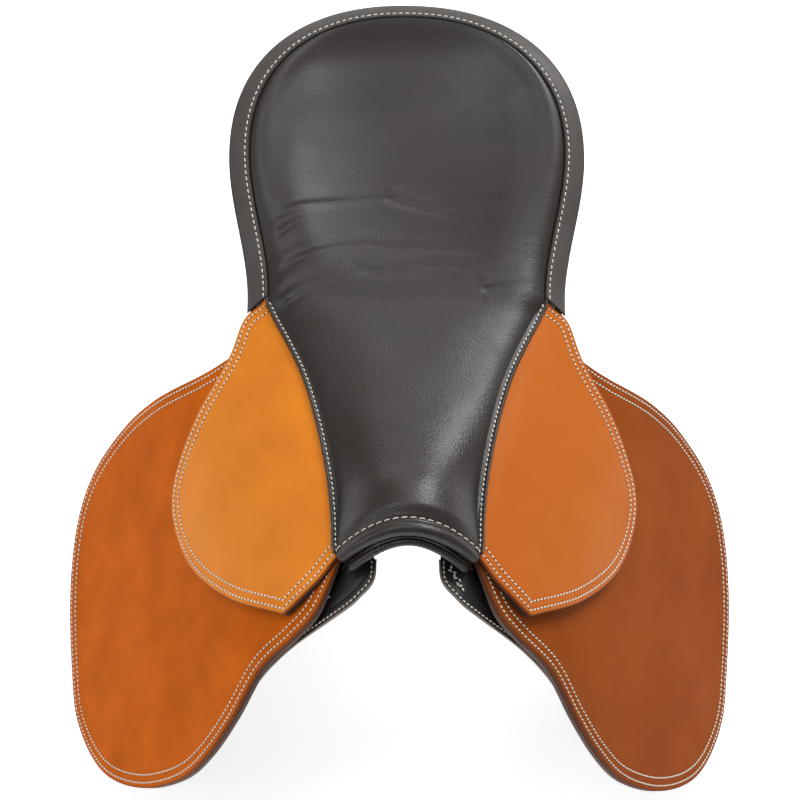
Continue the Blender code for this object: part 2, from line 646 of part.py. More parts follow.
def side_plate_outline():
    """The point and the seat of the stirrup bar, in the leaf's pattern."""
    top, foot = -0.008, 0.032
    narrow, round_off = 0.003, 0.016
    front = POINT_FRONT
    back = front + POINT_WIDTH
    tip = arc_outline([(back - narrow, POINT_LENGTH - round_off),
                       (back - narrow - round_off / 3, POINT_LENGTH - round_off / 4),
                       ((front + back) / 2, POINT_LENGTH),
                       (front + narrow + round_off / 3, POINT_LENGTH - round_off / 4),
                       (front + narrow, POINT_LENGTH - round_off)], 2)
    seat_end = BAR_END + 0.010
    return [(front, top), (seat_end, top), (seat_end, foot), (back + 0.006, foot), (back, foot + 0.010)] + tip


def make_tree():
    head = sheet("tree", head_grid(HEAD_HALF_WIDTH, HEAD_FRONT_Y, HEAD_REAR_Y, 13, 3), TREE_THICKNESS, BEECH)
    settle_wall(head)
    across = np.linspace(0, 1, 3)
    ring = block("tree_ring", ring_grid(across), ring_grid(across, -TREE_THICKNESS), BEECH, CUTTERS)
    combine(head, ring, "UNION")
    low = SIDE_PLATE_TOP - TREE_SIDE_THICKNESS
    for word, side in SIDES:
        plate = leaf_plate(f"tree_side_{word}", side, [side_plate_outline()], low, SIDE_PLATE_TOP,
                           BEECH, CUTTERS)
        combine(head, plate, "UNION")
        for i, place in enumerate(RIVET_PLACES):
            hole = hardware_cylinder(f"rivet_hole_{word}_{i}", side, place, RIVET_RADIUS + EDGE_GAP,
                                     low - CUT_PAST, SIDE_PLATE_TOP + CUT_PAST, BEECH, CUTTERS)
            combine(head, hole, "DIFFERENCE")


def settle_wall(obj):
    """Makes sure that the wall lies under the top face, whichever way the grid was wound."""
    mesh = obj.data
    bm = bmesh.new()
    bm.from_mesh(mesh)
    for face in bm.faces:
        if face.normal.z < 0:
            face.normal_flip()
    bm.to_mesh(mesh)
    bm.free()


def make_plates():
    front = HEAD_FRONT_Y + HEAD_PLATE_BACK
    rise = 2 * EDGE_GAP + PLATE_THICKNESS
    over = head_grid(HEAD_PLATE_HALF_WIDTH, front, front + PLATE_LENGTH, 13, 2, rise)
    settle_wall(sheet("head_plate", over, PLATE_THICKNESS, STEEL))
    front = HEAD_FRONT_Y + GULLET_PLATE_BACK
    drop = -TREE_THICKNESS - 2 * EDGE_GAP
    under = head_grid(GULLET_PLATE_HALF_WIDTH, front, front + PLATE_LENGTH, 13, 2, drop)
    settle_wall(sheet("gullet_plate", under, PLATE_THICKNESS, STEEL))


def make_springs():
    for word, side in SIDES:
        grid = ring_grid(SPRING_SHARES, -TREE_THICKNESS - UNDER_TREE, 1, 8) * [side, 1, 1]
        settle_wall(sheet(f"tree_spring_{word}", grid, SPRING_THICKNESS, STEEL))


# Hardware of the stirrup bars, in a flat frame on the leaf's first strip

def hardware_frame(side):
    """Carries (along the fold, down the strip, off the strip) to space."""
    slope = SLOPES[1]
    down = math.cos(slope) * OUT - math.sin(slope) * UP
    off = math.sin(slope) * OUT + math.cos(slope) * UP
    mirror = Matrix.Diagonal((side, 1, 1, 1))
    frame = Matrix.Identity(4)
    for column, vector in enumerate((ALONG, down, off, FOLD_FRONT)):
        for row in range(3):
            frame[row][column] = vector[row]
    return mirror @ frame


def to_hardware(mesh, side):
    mesh.transform(hardware_frame(side))
    outward(mesh)
    return mesh


def hardware_plate(name, side, loops, low, high, material, folder=None):
    return finish_mesh(name, to_hardware(plate_mesh(loops, low, high), side), material, folder)


def hardware_cylinder(name, side, place, radius, low, high, material, folder=None, sides=12):
    return hardware_plate(name, side, [circle(place, radius, sides)], low, high, material, folder)


def rounded_box(x0, x1, y0, y1, radius, steps=3):
    corners = ((x1 - radius, y1 - radius, 0), (x0 + radius, y1 - radius, 1),
               (x0 + radius, y0 + radius, 2), (x1 - radius, y0 + radius, 3))
    points = []
    for x, y, quarter in corners:
        for i in range(steps + 1):
            turn = (quarter + i / steps) * math.pi / 2
            points.append((x + radius * math.cos(turn), y + radius * math.sin(turn)))
    return points


def prong_mesh(side):
    """The bar seen along its width: a root on the bracket, the prong and its half-lapped end."""
    foot = BRACKET_TOP - 0.001
    lap = BAR_END - BAR_WIDTH - EDGE_GAP
    middle = BAR_TOP - BAR_THICKNESS / 2 - EDGE_GAP / 2
    root = BAR_FRONT + 0.011
    fillet, bevel = 0.002, 0.003
    outline = [(BAR_FRONT, foot), (root, foot), (root, BAR_UNDERSIDE - fillet),
               (root + fillet, BAR_UNDERSIDE),
               (BAR_END, BAR_UNDERSIDE), (BAR_END, middle), (lap, middle), (lap, BAR_TOP),
               (BAR_FRONT + bevel, BAR_TOP), (BAR_FRONT, BAR_TOP - bevel)]
    mesh = plate_mesh([outline], BAR_DROP - BAR_WIDTH / 2, BAR_DROP + BAR_WIDTH / 2)
    # The outline's second axis is the height off the strip, and its thickness is the bar's width
    place_vertices(mesh, lambda points: points[:, [0, 2, 1]])
    return to_hardware(mesh, side)


def make_bars():
    """Each bar is a riveted bracket with a prong that stands off it, and a catch pinned to its end."""
    middle = BAR_TOP - BAR_THICKNESS / 2 + EDGE_GAP / 2
    hole = PIN_RADIUS + PIN_CLEARANCE
    half, bracket_half = BAR_WIDTH / 2, BRACKET_WIDTH / 2
    pivot = (BAR_END - half, BAR_DROP)
    reach = BAR_END + CATCH_LENGTH - BAR_WIDTH
    outline = rounded_box(BAR_FRONT, BAR_END, BAR_DROP - bracket_half, BAR_DROP + bracket_half, 0.004, 2)
    holes = [circle(place, RIVET_RADIUS + EDGE_GAP, 12) for place in RIVET_PLACES]
    tongue = rounded_box(pivot[0] - half, reach, BAR_DROP - half, BAR_DROP + half, half - 0.0001, 4)
    # The thumb piece clears the square corners of the bar's end as it turns
    clear = BAR_END + half * (math.sqrt(2.0) - 1.0) + EDGE_GAP
    tip = rounded_box(clear, reach, BAR_DROP - half, BAR_DROP + half, CATCH_TIP_RADIUS, 2)
    for word, side in SIDES:
        bar = hardware_plate(f"stirrup_bar_{word}", side, [outline] + holes,
                             BRACKET_TOP - BRACKET_THICKNESS, BRACKET_TOP, STEEL)
        prong = finish_mesh(f"bar_prong_{word}", prong_mesh(side), STEEL, CUTTERS)
        combine(bar, prong, "UNION")
        bore = hardware_cylinder(f"bar_bore_{word}", side, pivot, hole, BAR_UNDERSIDE - CUT_PAST,
                                 BAR_TOP + CUT_PAST, STEEL, CUTTERS, PIN_SIDES)
        combine(bar, bore, "DIFFERENCE")
        catch = hardware_plate(f"bar_catch_{word}", side, [tongue, circle(pivot, hole, PIN_SIDES)],
                               middle, BAR_TOP, STEEL)
        thumb = hardware_plate(f"catch_tip_{word}", side, [tip], BAR_UNDERSIDE, BAR_TOP - CATCH_TIP_STEP,
                               STEEL, CUTTERS)
        combine(catch, thumb, "UNION")
        hardware_cylinder(f"catch_pin_{word}", side, pivot, PIN_RADIUS, BAR_UNDERSIDE, BAR_TOP, STEEL, None,
                          PIN_SIDES)
        for place_word, place in zip(("front", "rear"), RIVET_PLACES):
            make_rivet(f"bar_rivet_{place_word}_{word}", side, place)


def make_rivet(name, side, place):
    """A turned rivet: a low head on the bracket and a shank through it and the tree's side."""
    shank = BRACKET_TOP - SIDE_PLATE_TOP + TREE_SIDE_THICKNESS
    profile = [(0.0, RIVET_HEAD_HEIGHT), (0.65 * RIVET_HEAD_RADIUS, 0.85 * RIVET_HEAD_HEIGHT),
               (RIVET_HEAD_RADIUS, EDGE_GAP), (RIVET_RADIUS, EDGE_GAP), (RIVET_RADIUS, -shank), (0.0, -shank)]
    mesh = bpy.data.meshes.new(name)
    edges = [(i, i + 1) for i in range(len(profile) - 1)]
    mesh.from_pydata([(r, 0.0, z) for r, z in profile], edges, [])
    obj = bpy.data.objects.new(name, mesh)
    PARTS.objects.link(obj)
    turn = obj.modifiers.new("turned", "SCREW")
    turn.steps = turn.render_steps = 12
    turn.use_merge_vertices = True
    turn.merge_threshold = 0.00002
    mesh = mesh_of(obj)
    mesh.transform(Matrix.Translation((place[0], place[1], BRACKET_TOP)))
    finish_mesh(name, to_hardware(mesh, side), STEEL)


# Girth webs, girth straps and the leather leaves

def make_webs_and_straps():
    for word, side in SIDES:
        for place, centre, length in STRAP_CENTRES:
            half = STRAP_WIDTH / 2
            web = [(centre - half, WEB_TOP), (centre + half, WEB_TOP),
                   (centre + half, WEB_END), (centre - half, WEB_END)]
            leaf_plate(f"girth_web_{place}_{word}", side, [web], WEB_TOP_FACE - WEB_THICKNESS, WEB_TOP_FACE,
                       WEBBING)
            end = STRAP_TOP + length
            outline = [(centre - half, STRAP_TOP), (centre + half, STRAP_TOP), (centre + half, end - half),
                       (centre + 0.4 * half, end), (centre - 0.4 * half, end), (centre - half, end - half)]
            places = [end - HOLE_MARGIN - HOLE_SPACING * i for i in range(HOLE_COUNT)]
            holes = [circle((centre, place_down), HOLE_RADIUS, 6) for place_down in places]
            leaf_plate(f"girth_strap_{place}_{word}", side, [outline] + holes,
                       STRAP_TOP_FACE - STRAP_THICKNESS, STRAP_TOP_FACE, STRAP_LEATHER)


def sewn_outline(inset):
    """The crescent between the seat's seam and the fold line."""
    y = np.linspace(-0.235, -0.0275, 29)
    seam = sewn_place(seat_half_width(y) + inset, y)
    seam = seam[seam[:, 1] < -0.0015][::2]
    return [tuple(p) for p in seam] + [(seam[-1][0], -EDGE_GAP), (seam[0][0], -EDGE_GAP)]


def make_leaves():
    skirt_low = -SKIRT_THICKNESS
    lining_low = skirt_low - EDGE_GAP - LINING_THICKNESS
    flap_low = FLAP_TOP_FACE - FLAP_THICKNESS
    flap_lining_low = flap_low - EDGE_GAP - LINING_THICKNESS
    rear = arc_outline(SKIRT_OUTLINE_REAR, 3)
    front = arc_outline(SKIRT_OUTLINE_FRONT, 2)
    skirt = rear + front[1:]
    flap = arc_outline(FLAP_OUTLINE, 2) + FLAP_NOTCH
    sweat = arc_outline(SWEAT_OUTLINE, 2) + SWEAT_TOP
    inset = 2 * WELT_RADIUS + 3 * EDGE_GAP
    for word, side in SIDES:
        leaf_plate(f"skirt_{word}", side, [skirt], skirt_low, 0.0, TAN_SKIRT)
        leaf_plate(f"skirt_lining_{word}", side, [skirt], lining_low, skirt_low - EDGE_GAP, LINING_LEATHER)
        leaf_plate(f"skirt_sewn_edge_{word}", side, [sewn_outline(inset)], lining_low, 0.0, TAN_SKIRT)
        leaf_plate(f"flap_{word}", side, [flap], flap_low, FLAP_TOP_FACE, TAN_FLAP)
        leaf_plate(f"flap_lining_{word}", side, [flap], flap_lining_low, flap_low - EDGE_GAP, LINING_LEATHER)
        leaf_plate(f"flap_sewn_edge_{word}", side, [sewn_outline(0.0050)], flap_lining_low,
                   FLAP_TOP_FACE, TAN_FLAP)
        leaf_plate(f"sweat_flap_{word}", side, [sweat], SWEAT_TOP_FACE - SWEAT_FLAP_THICKNESS, SWEAT_TOP_FACE,
                   BLACK_LEATHER)
        make_pocket(word, side)


def make_pocket(word, side):
    """A sleeve, open at the top, that the point of the tree sits in."""
    outer_face = SIDE_PLATE_TOP + EDGE_GAP + POCKET_WALL
    inner_face = SIDE_PLATE_TOP - TREE_SIDE_THICKNESS - EDGE_GAP - POCKET_WALL
    front = POINT_FRONT
    back = front + POINT_WIDTH
    wall = POCKET_WALL + EDGE_GAP
    top = POINT_LENGTH - POCKET_LENGTH
    outer = rounded_box(front - wall, back + wall, top, POINT_LENGTH + wall, 0.010, 3)
    outer = [(x, top) if y < top + 0.009 and abs(y - top) < 0.0105 else (x, y) for x, y in outer]
    inner = rounded_box(front - EDGE_GAP, back + EDGE_GAP, top - 0.010, POINT_LENGTH + EDGE_GAP, 0.009, 3)
    pocket = leaf_plate(f"point_pocket_{word}", side, [outer], inner_face, outer_face, BLACK_LEATHER)
    room = leaf_plate(f"pocket_room_{word}", side, [inner], inner_face + POCKET_WALL,
                      outer_face - POCKET_WALL, BLACK_LEATHER, CUTTERS)
    combine(pocket, room, "DIFFERENCE")


# Seat

def foam_floor(x, y):
    """Height of the foam's underside: over the head's arch in front, in the tree's dish behind."""
    y = np.asarray(y, float)
    head = HEAD_TOP_Z - HEAD_ARCH * x**2 - HEAD_FALL * (y - HEAD_FRONT_Y)
    head = head + (PLATE_THICKNESS + WEB_THICKNESS + 5 * EDGE_GAP) * np.sqrt(1 + (2 * HEAD_ARCH * x) ** 2)
    middle, edge = np.moveaxis(through(FOAM_FLOOR, y), -1, 0)
    dish = middle + (edge - middle) * (x / seat_half_width(y)) ** 2
    head = np.maximum(head, dish)
    return head + (dish - head) * ease((y - HEAD_REAR_Y - 0.004) / 0.050)


def make_seat():
    block("seat_cover", seat_grid(SEAT_COLUMNS, SEAT_ROWS, 0.0),
          seat_grid(SEAT_COLUMNS, SEAT_ROWS, COVER_THICKNESS), SEAT_LEATHER)
    top = seat_grid(SEAT_COLUMNS * 0.93, np.linspace(0.03, 0.95, 28), COVER_THICKNESS + 0.0022)
    floor = top.copy()
    floor[..., 2] = np.minimum(foam_floor(top[..., 0], top[..., 1]), top[..., 2] - 0.0006)
    block("seat_foam", top, floor, FOAM)


def make_strainer_webs():
    y = np.concatenate([np.linspace(-0.198, -0.142, 8), np.linspace(-0.126, 0.165, 14)])
    for word, side in SIDES:
        x = np.linspace(WEB_INNER_X, WEB_OUTER_X, 4)
        gx, gy = np.meshgrid(x, y)
        grid = np.stack([side * gx, gy, foam_floor(gx, gy) - WEB_DROP], axis=2)
        settle_wall(sheet(f"strainer_web_{word}", grid, WEB_THICKNESS, WEBBING))


def border_tilt(y):
    """How far the border's outer edge lies under its inner edge: most at the waist."""
    return BORDER_TILT * (1.0 + 1.2 * ease((0.03 - y) / 0.07))


def make_border():
    inner = mirrored_run(rim_points(BORDER_WIDTH, 0.002))
    outer = mirrored_run(rim_points(0.0, 0.0))
    outer[:, 2] -= border_tilt(outer[:, 1])
    middle = (inner + outer) / 2 + [0, 0, 0.0008]
    top = np.stack([inner, middle, outer], axis=1)
    block("cantle_border", top, top - [0, 0, BORDER_THICKNESS], BLACK_LEATHER)


def make_cantle_facing():
    """The leather wall from the border down to the panel, round the cantle."""
    rows = []
    for share in (0.0, 1.0):
        run = rim_points(0.0024 + 0.0026 * share, 0.0)
        top = run[:, 2] - border_tilt(run[:, 1]) - BORDER_THICKNESS - 3 * EDGE_GAP
        foot = through(FACING_FOOT, run[:, 1])[:, 0]
        run[:, 2] = top + (foot - top) * share
        rows.append(mirrored_run(run))
    obj = sheet("cantle_facing", np.stack(rows, axis=1), COVER_THICKNESS, BLACK_LEATHER, 0.0)
    outward(obj.data)


def arch_run(half_width, back, drop, steps):
    """Points along the pommel's arch: inwards from the seat's front edge by a drop, and ahead of it."""
    x = np.linspace(-half_width, half_width, steps)
    bend = POMMEL_DROP / POMMEL_HALF_WIDTH**2
    slope = -2 * bend * x
    length = np.sqrt(1 + slope**2)
    z = POMMEL_Z - bend * x**2 - drop / length
    y = POMMEL_Y - POMMEL_SWEEP * (x / POMMEL_HALF_WIDTH) ** 2 - back
    return np.stack([x + drop * slope / length, y, z], axis=1)


def make_pommel():
    ahead = ROLL_RADIUS
    tube("pommel_roll", arch_run(ROLL_HALF_WIDTH, ahead, ROLL_DROP, ARCH_STEPS), ROLL_RADIUS, SEAT_LEATHER,
         2, ROLL_END_SHARE)
    tube("pommel_piping", arch_run(PIPING_HALF_WIDTH, ahead + PIPING_AHEAD, PIPING_DROP, ARCH_STEPS),
         PIPING_RADIUS, SEAT_LEATHER, 1)
    below = TREE_THICKNESS + PLATE_THICKNESS + 3 * EDGE_GAP
    under = head_grid(0.048, HEAD_FRONT_Y - 0.004, HEAD_FRONT_Y + 0.0215, 15, 3, -below)
    under[0, :, 1] -= POMMEL_SWEEP * (under[0, :, 0] / POMMEL_HALF_WIDTH) ** 2
    lip = under[:1] + [0.0, -FACING_LIP[0], FACING_LIP[1]]
    grid = np.vstack([lip, under])
    settle_wall(sheet("pommel_facing", grid, FACING_THICKNESS, BLACK_LEATHER))


def make_welts():
    y = np.linspace(-0.237, -0.026, 20)
    x = seat_half_width(y) + WELT_RADIUS + 2 * EDGE_GAP
    for word, side in SIDES:
        points = np.stack([side * x, y, seat_edge_height(y) + 0.0008], axis=1)
        tube(f"seat_welt_{word}", points, WELT_RADIUS, SEAT_LEATHER, 1)


# Panel

def make_panels():
    for word, side in SIDES:
        grid = np.array([[(side * x, y, z) for x, z in ring] for y, ring in PANEL_SECTIONS])
        mesh = grid_mesh(grid, closed_across=True)
        bm = bmesh.new()
        bm.from_mesh(mesh)
        bmesh.ops.holes_fill(bm, edges=bm.edges, sides=0)
        bm.to_mesh(mesh)
        bm.free()
        outward(mesh)
        obj = finish_mesh(f"panel_{word}", mesh, BLACK_LEATHER)
        soft = obj.modifiers.new("stuffing", "SUBSURF")
        soft.levels = soft.render_levels = 1


def make_rear_bridge():
    outer, _ = rail_edges()
    middle = len(outer) - 1
    grid = ring_grid(BRIDGE_SHARES, -TREE_THICKNESS - UNDER_TREE, middle - 2, middle + 3)
    settle_wall(sheet("panel_rear_bridge", grid, BRIDGE_THICKNESS, BLACK_LEATHER))


def smooth_round_pieces():
    for obj in PARTS.objects:
        if obj.type == "MESH":
            obj.data.shade_smooth()
            obj.data.set_sharp_from_angle(angle=math.radians(35))


make_tree()
make_plates()
make_springs()
make_bars()
make_webs_and_straps()
make_leaves()
make_seat()
make_strainer_webs()
make_border()
make_cantle_facing()
make_pommel()
make_welts()
make_panels()
make_rear_bridge()
smooth_round_pieces()
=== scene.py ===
"""Dresses the exercise saddle: padded seat, panels, leather leaves with their stitching, and the stage.

X is the saddle's side, -Y the pommel, +Z up, in metres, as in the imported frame. Leaves are worked
out in their flat pattern, (along the fold line, down the leaf), and bent over one smooth form."""

import math

import bmesh
import bpy
import numpy as np
from mathutils import Matrix


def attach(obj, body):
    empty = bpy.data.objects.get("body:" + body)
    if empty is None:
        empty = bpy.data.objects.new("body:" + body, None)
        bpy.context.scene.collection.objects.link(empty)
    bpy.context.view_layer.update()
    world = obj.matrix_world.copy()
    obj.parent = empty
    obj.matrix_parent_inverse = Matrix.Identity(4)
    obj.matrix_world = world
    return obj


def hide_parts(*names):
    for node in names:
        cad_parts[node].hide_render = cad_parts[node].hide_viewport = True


bl_info = {
    "name": "Exercise saddle",
    "version": (1, 0, 0),
    "blender": (4, 5, 0),
    "location": "View3D > Sidebar > Saddle",
    "description": "Builds an English exercise saddle over its packed solids",
    "category": "Object",
}

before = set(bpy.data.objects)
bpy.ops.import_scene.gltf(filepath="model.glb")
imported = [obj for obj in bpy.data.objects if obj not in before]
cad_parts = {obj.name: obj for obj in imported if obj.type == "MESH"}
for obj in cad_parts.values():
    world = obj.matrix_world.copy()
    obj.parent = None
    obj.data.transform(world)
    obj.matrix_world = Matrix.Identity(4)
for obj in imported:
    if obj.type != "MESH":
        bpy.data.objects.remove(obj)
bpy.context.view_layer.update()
SIDES = (("left", -1), ("right", 1))

# Seat and rim, as in the solids
RIM_HALF_WIDTH = 0.137
RIM_WAIST_HALF_WIDTH = 0.121
RIM_WIDEST_Y = 0.090
RIM_REAR_Y = 0.214
RIM_FRONT_Y = -0.0225
RIM_TAPER_Y = -0.020
RIM_ROUNDNESS = 2.15
RIM_END_SKEW = 0.48
RIM_LOW_Z = 0.081
RIM_RISE = 0.065
BORDER_WIDTH = 0.0155
BORDER_THICKNESS = 0.0034
BORDER_TILT = 0.0045
BORDER_GAP = 0.0008
# Place of the border's stitches, as a share of its width from its outer edge
BORDER_SEAM = 0.80
COVER_THICKNESS = 0.0018
SEAT_CORNER_Y = 0.165
# Stitch rows of the seat, in from its side seams and back from its front edge, and where the side rows end
SIDE_ROW = 0.0009
FRONT_ROW = 0.0020
SIDE_ROW_END_Y = -0.026
# Radius at which the seat's front edge turns down
SEAT_NOSE = 0.0030
# The seat's form: its flat flange along the sides of the neck, how far its fall to the sewn edge reaches,
# how much further at the neck and how far at the rear, the powers of the fall and of the bowl, the swell
# behind its front edge, and how far its sewn edge stands over what it is sewn to
SEAT_FLANGE = 0.0036
SEAT_FALL = 0.040
NECK_FALL = 0.005
REAR_FALL = 0.0260
FALL_POWER = 2.6
BOWL_POWER = 2.2
FRONT_SWELL = 0.0034
SEAT_EDGE_RISE = 0.001
POMMEL_Y = -0.2370
POMMEL_SWEEP = 0.0090
POMMEL_Z = 0.1200
POMMEL_HALF_WIDTH = 0.054
POMMEL_DROP = 0.034
# The pommel's arch, and how far its roll and its piping lie behind and under the seat's front edge
ARCH_HALF_WIDTH = 0.0525
ROLL_DROP = 0.0040
PIPING_BACK = 0.0110
PIPING_DROP = 0.0130
ROLL_RADIUS = 0.0052
PIPING_RADIUS = 0.0029
# The sewn seam is pressed flat: the seat's hem reaches out over the welt, which shows as a thin cord
SEAT_HEM = 0.0028
WELT_SHOWN = 0.0011
FACING_THICKNESS = 0.0040
FACING_HALF_WIDTH = 0.048
FACING_GAP = 0.0024
FACING_LIP = 0.0020
# The facing under the cantle: its inset from the rim at its top, its lean inwards down to its foot, how far
# it bulges between and its thickness
CANTLE_INSET = 0.0024
CANTLE_LEAN = 0.0026
CANTLE_BULGE = 0.0012
CANTLE_THICKNESS = 0.0018
HEAD_TOP_Z = 0.1115
HEAD_ARCH = 13.0
HEAD_FALL = 0.25
HEAD_FRONT_Y = -0.2285
HEAD_REAR_Y = -0.186
TREE_THICKNESS = 0.0090

# Half-width of the seat ahead of the waist, and the height of its hollow along the middle, by place
SEAT_WIDTHS = ((-0.252, 0.0482), (-0.238, 0.0500), (-0.224, 0.0504), (-0.190, 0.0532), (-0.161, 0.0577),
               (-0.127, 0.0648), (-0.092, 0.0747), (-0.074, 0.0817), (-0.056, 0.0895), (-0.043, 0.0955),
               (-0.029, 0.1010))
SEAT_HOLLOW = ((-0.237, 0.1200), (-0.207, 0.1168), (-0.170, 0.1090), (-0.130, 0.1000), (-0.080, 0.0930),
               (-0.030, 0.0892), (0.030, 0.0905), (0.090, 0.0990), (0.140, 0.1140), (0.180, 0.1320),
               (0.200, 0.1410))
# Underside of the foam, on the middle line and at its edge
FOAM_FLOOR = ((-0.170, 0.0760, 0.0810), (-0.120, 0.0745, 0.0810), (-0.060, 0.0715, 0.0800),
              (0.000, 0.0725, 0.0810), (0.040, 0.0760, 0.0870), (0.080, 0.0830, 0.0985),
              (0.120, 0.0930, 0.1120), (0.150, 0.1040, 0.1240), (0.170, 0.1140, 0.1320),
              (0.190, 0.1285, 0.1365), (0.199, 0.1350, 0.1370))
FACING_FOOT = ((-0.045, 0.0560), (0.000, 0.0540), (0.040, 0.0600), (0.080, 0.0700), (0.120, 0.0820),
               (0.170, 0.1000), (0.214, 0.1130))

# The leaf's fold line and the slope of its section, down from level, by distance from that line
FOLD_FRONT = np.array([0.054, -0.244, 0.085])
FOLD_REAR = np.array([0.106, -0.043, 0.079])
FALL_AT = (-0.008, 0.008, 0.015, 0.135, 0.165)
FALL_SLOPE = np.radians((19.0, 38.4, 38.4, 57.6, 60.0))
FALL_STEP = 0.0005
FOLD_START = -0.0055
FOLD_END = 0.225

# Heights of the layers' top faces from the skirt's, and their thicknesses
SKIRT_THICKNESS = 0.0032
LINING_THICKNESS = 0.0011
FLAP_THICKNESS = 0.0034
STRAP_THICKNESS = 0.0032
WEB_THICKNESS = 0.0017
SWEAT_THICKNESS = 0.0021
EDGE_GAP = 0.0003
FLAP_TOP = -0.0050
STRAP_TOP_FACE = -0.0106
WEB_TOP_FACE = -0.0143
SWEAT_TOP_FACE = -0.0164

# Cut patterns of the leaves, from the rear end of the free edge to its front end
SKIRT_REAR_EDGE = ((0.2250, 0.0), (0.2212, 0.0190), (0.198, 0.042), (0.171, 0.087), (0.139, 0.128),
                   (0.107, 0.140), (0.064, 0.132), (0.018, 0.100), (-0.024, 0.0535))
SKIRT_FRONT_EDGE = ((-0.024, 0.0535), (-0.0218, 0.0420), (-0.0150, 0.0190), (-0.0055, 0.0))
FLAP_EDGE = ((0.204, 0.0), (0.204, 0.043), (0.209, 0.078), (0.226, 0.138), (0.233, 0.186), (0.228, 0.239),
             (0.204, 0.280), (0.153, 0.319), (0.100, 0.341), (0.057, 0.346), (0.002, 0.326),
             (-0.037, 0.283), (-0.061, 0.228), (-0.065, 0.185), (-0.058, 0.140), (-0.043, 0.097),
             (-0.039, 0.058), (-0.031, 0.030), (-0.0055, 0.0))
FLAP_TOP_PATH = ((0.128, 0.0), (0.128, 0.040), (0.122, 0.046), (0.028, 0.046), (0.022, 0.040), (0.022, 0.0))
SWEAT_EDGE = ((0.176, 0.040), (0.184, 0.090), (0.195, 0.135), (0.200, 0.190), (0.192, 0.230),
              (0.175, 0.264), (0.140, 0.293), (0.095, 0.313), (0.050, 0.318), (0.004, 0.301),
              (-0.028, 0.272), (-0.049, 0.230), (-0.053, 0.190), (-0.047, 0.145), (-0.0405, 0.105),
              (-0.038, 0.070), (-0.038, 0.030), (-0.0355, 0.000), (-0.0265, -0.0190), (-0.0095, -0.0260))
SWEAT_TOP_PATH = ((0.132, 0.030), (0.126, 0.050), (0.024, 0.050), (0.016, 0.012), (-0.004, 0.006))
FOLD_LINE = ((0.0, 0.0), (1.0, 0.0))

# Lock stitches that tack each sweat flap to its panel
SWEAT_TACKS = {
    "right": ((-0.0100, -0.0155), (-0.0150, -0.0165), (-0.0150, -0.0110), (-0.0190, -0.0125),
              (-0.0190, -0.0065), (-0.0240, -0.0080), (-0.0230, -0.0020), (-0.0270, 0.0010)),
    "left": ((-0.0180, 0.0220), (-0.0215, 0.0265), (-0.0175, 0.0262), (-0.0225, 0.0225)),
}

# Straps: place, centre along the fold, length
STRAPS = (("front", 0.146, 0.239), ("rear", 0.186, 0.219))
STRAP_TOP = 0.056
STRAP_WIDTH = 0.025
HOLE_RADIUS = 0.0025
HOLE_SPACING = 0.022
HOLE_COUNT = 7
HOLE_MARGIN = 0.030
WEB_TOP = -0.012
WEB_END = 0.080
# The box of stitches at a strap's top, with one diagonal, from the strap's middle line
STRAP_BOX = np.array([(-0.009, 0.060), (0.009, 0.060), (0.009, 0.077), (-0.009, 0.077), (-0.009, 0.060),
                      (0.009, 0.077)])

# Creases pressed into the seat, each a run of places in plan
SEAT_CREASES = (
    ((-0.103, 0.033), (-0.082, 0.046), (-0.031, 0.057), (0.022, 0.062), (0.076, 0.061)),
    ((-0.101, 0.022), (-0.081, 0.035), (-0.052, 0.044)),
    ((-0.020, 0.060), (0.023, 0.048), (0.060, 0.040)),
    ((-0.103, -0.010), (-0.090, -0.002), (-0.079, 0.005), (-0.040, 0.017), (-0.002, 0.016), (0.031, 0.015),
     (0.070, 0.010), (0.103, 0.004)),
    ((-0.099, -0.026), (-0.083, -0.016), (-0.055, -0.006)),
    ((-0.094, -0.036), (-0.074, -0.024), (-0.048, -0.016)),
    ((-0.040, -0.008), (0.021, 0.001), (0.055, -0.004), (0.088, -0.001)),
    ((0.055, -0.022), (0.075, -0.018), (0.098, -0.013)),
)

# The photograph's camera: its place, what it looks at, its roll in degrees and its focal length in pixels
EYE = (-0.0465, -1.2856, 1.9666)
AIM = (-0.0035, -0.0627, 0.0)
ROLL = 2.19
FOCAL_PIXELS = 2989.2
PICTURE_SIZE = 800
FLOOR_Z = -0.2055
FLOOR_REACH = 6.0

# Soft boxes of the studio, all aimed at the saddle: place, then width and height
LIGHTS_AIM = (0.0, 0.0, 0.05)
LIGHTS = {
    "overhead": ((-0.75, -0.1, 2.1), (1.1, 1.0)),
    "left": ((-1.6, -0.6, 0.9), (1.2, 1.0)),
    "right_rear": ((1.10, 1.30, 1.40), (1.0, 0.9)),
    "top": ((0.25, 0.10, 2.00), (0.9, 0.9)),
    "high_right": ((0.98, 0.52, 1.85), (0.4, 0.9)),
    "rear_top": ((0.20, 1.55, 1.90), (1.3, 0.7)),
    "backdrop": ((-0.5, 2.3, 0.75), (1.6, 0.7)),
}

# Distance written as from_edge where no darkened edge is near
NO_EDGE_NEAR = 0.05
# A leaf's row of stitches runs this deep in its groove, and its thread stands as far over that
GROOVE_SEAT = 0.0003
# Length of a stitch as a share of its pitch
STITCH_FILL = 0.74
# Front and rear end, in y, of the leaves' sewn strips and of the seat's welts
STRIP_ENDS = (-0.2485, -0.0234)
WELT_ENDS = (-0.2455, -0.0245)
# The strips' seams, out from the seat's side
SKIRT_SEAM = 2 * WELT_SHOWN + EDGE_GAP
FLAP_SEAM = 0.0030
# How much the linings are thickened along the hem. On the skirts the thick dark hem is partly a turned hem
# and
# partly painted shade: it shows as the dark shadow line under the skirt's edge
SKIRT_HEM_AND_SHADE_LINE = 0.0024
FLAP_HEM = 0.0030
# Stitch rows of the sweat flap, from its edge
SWEAT_ROWS = (("outer", 0.0032), ("inner", 0.0086))


# Curves and formulas

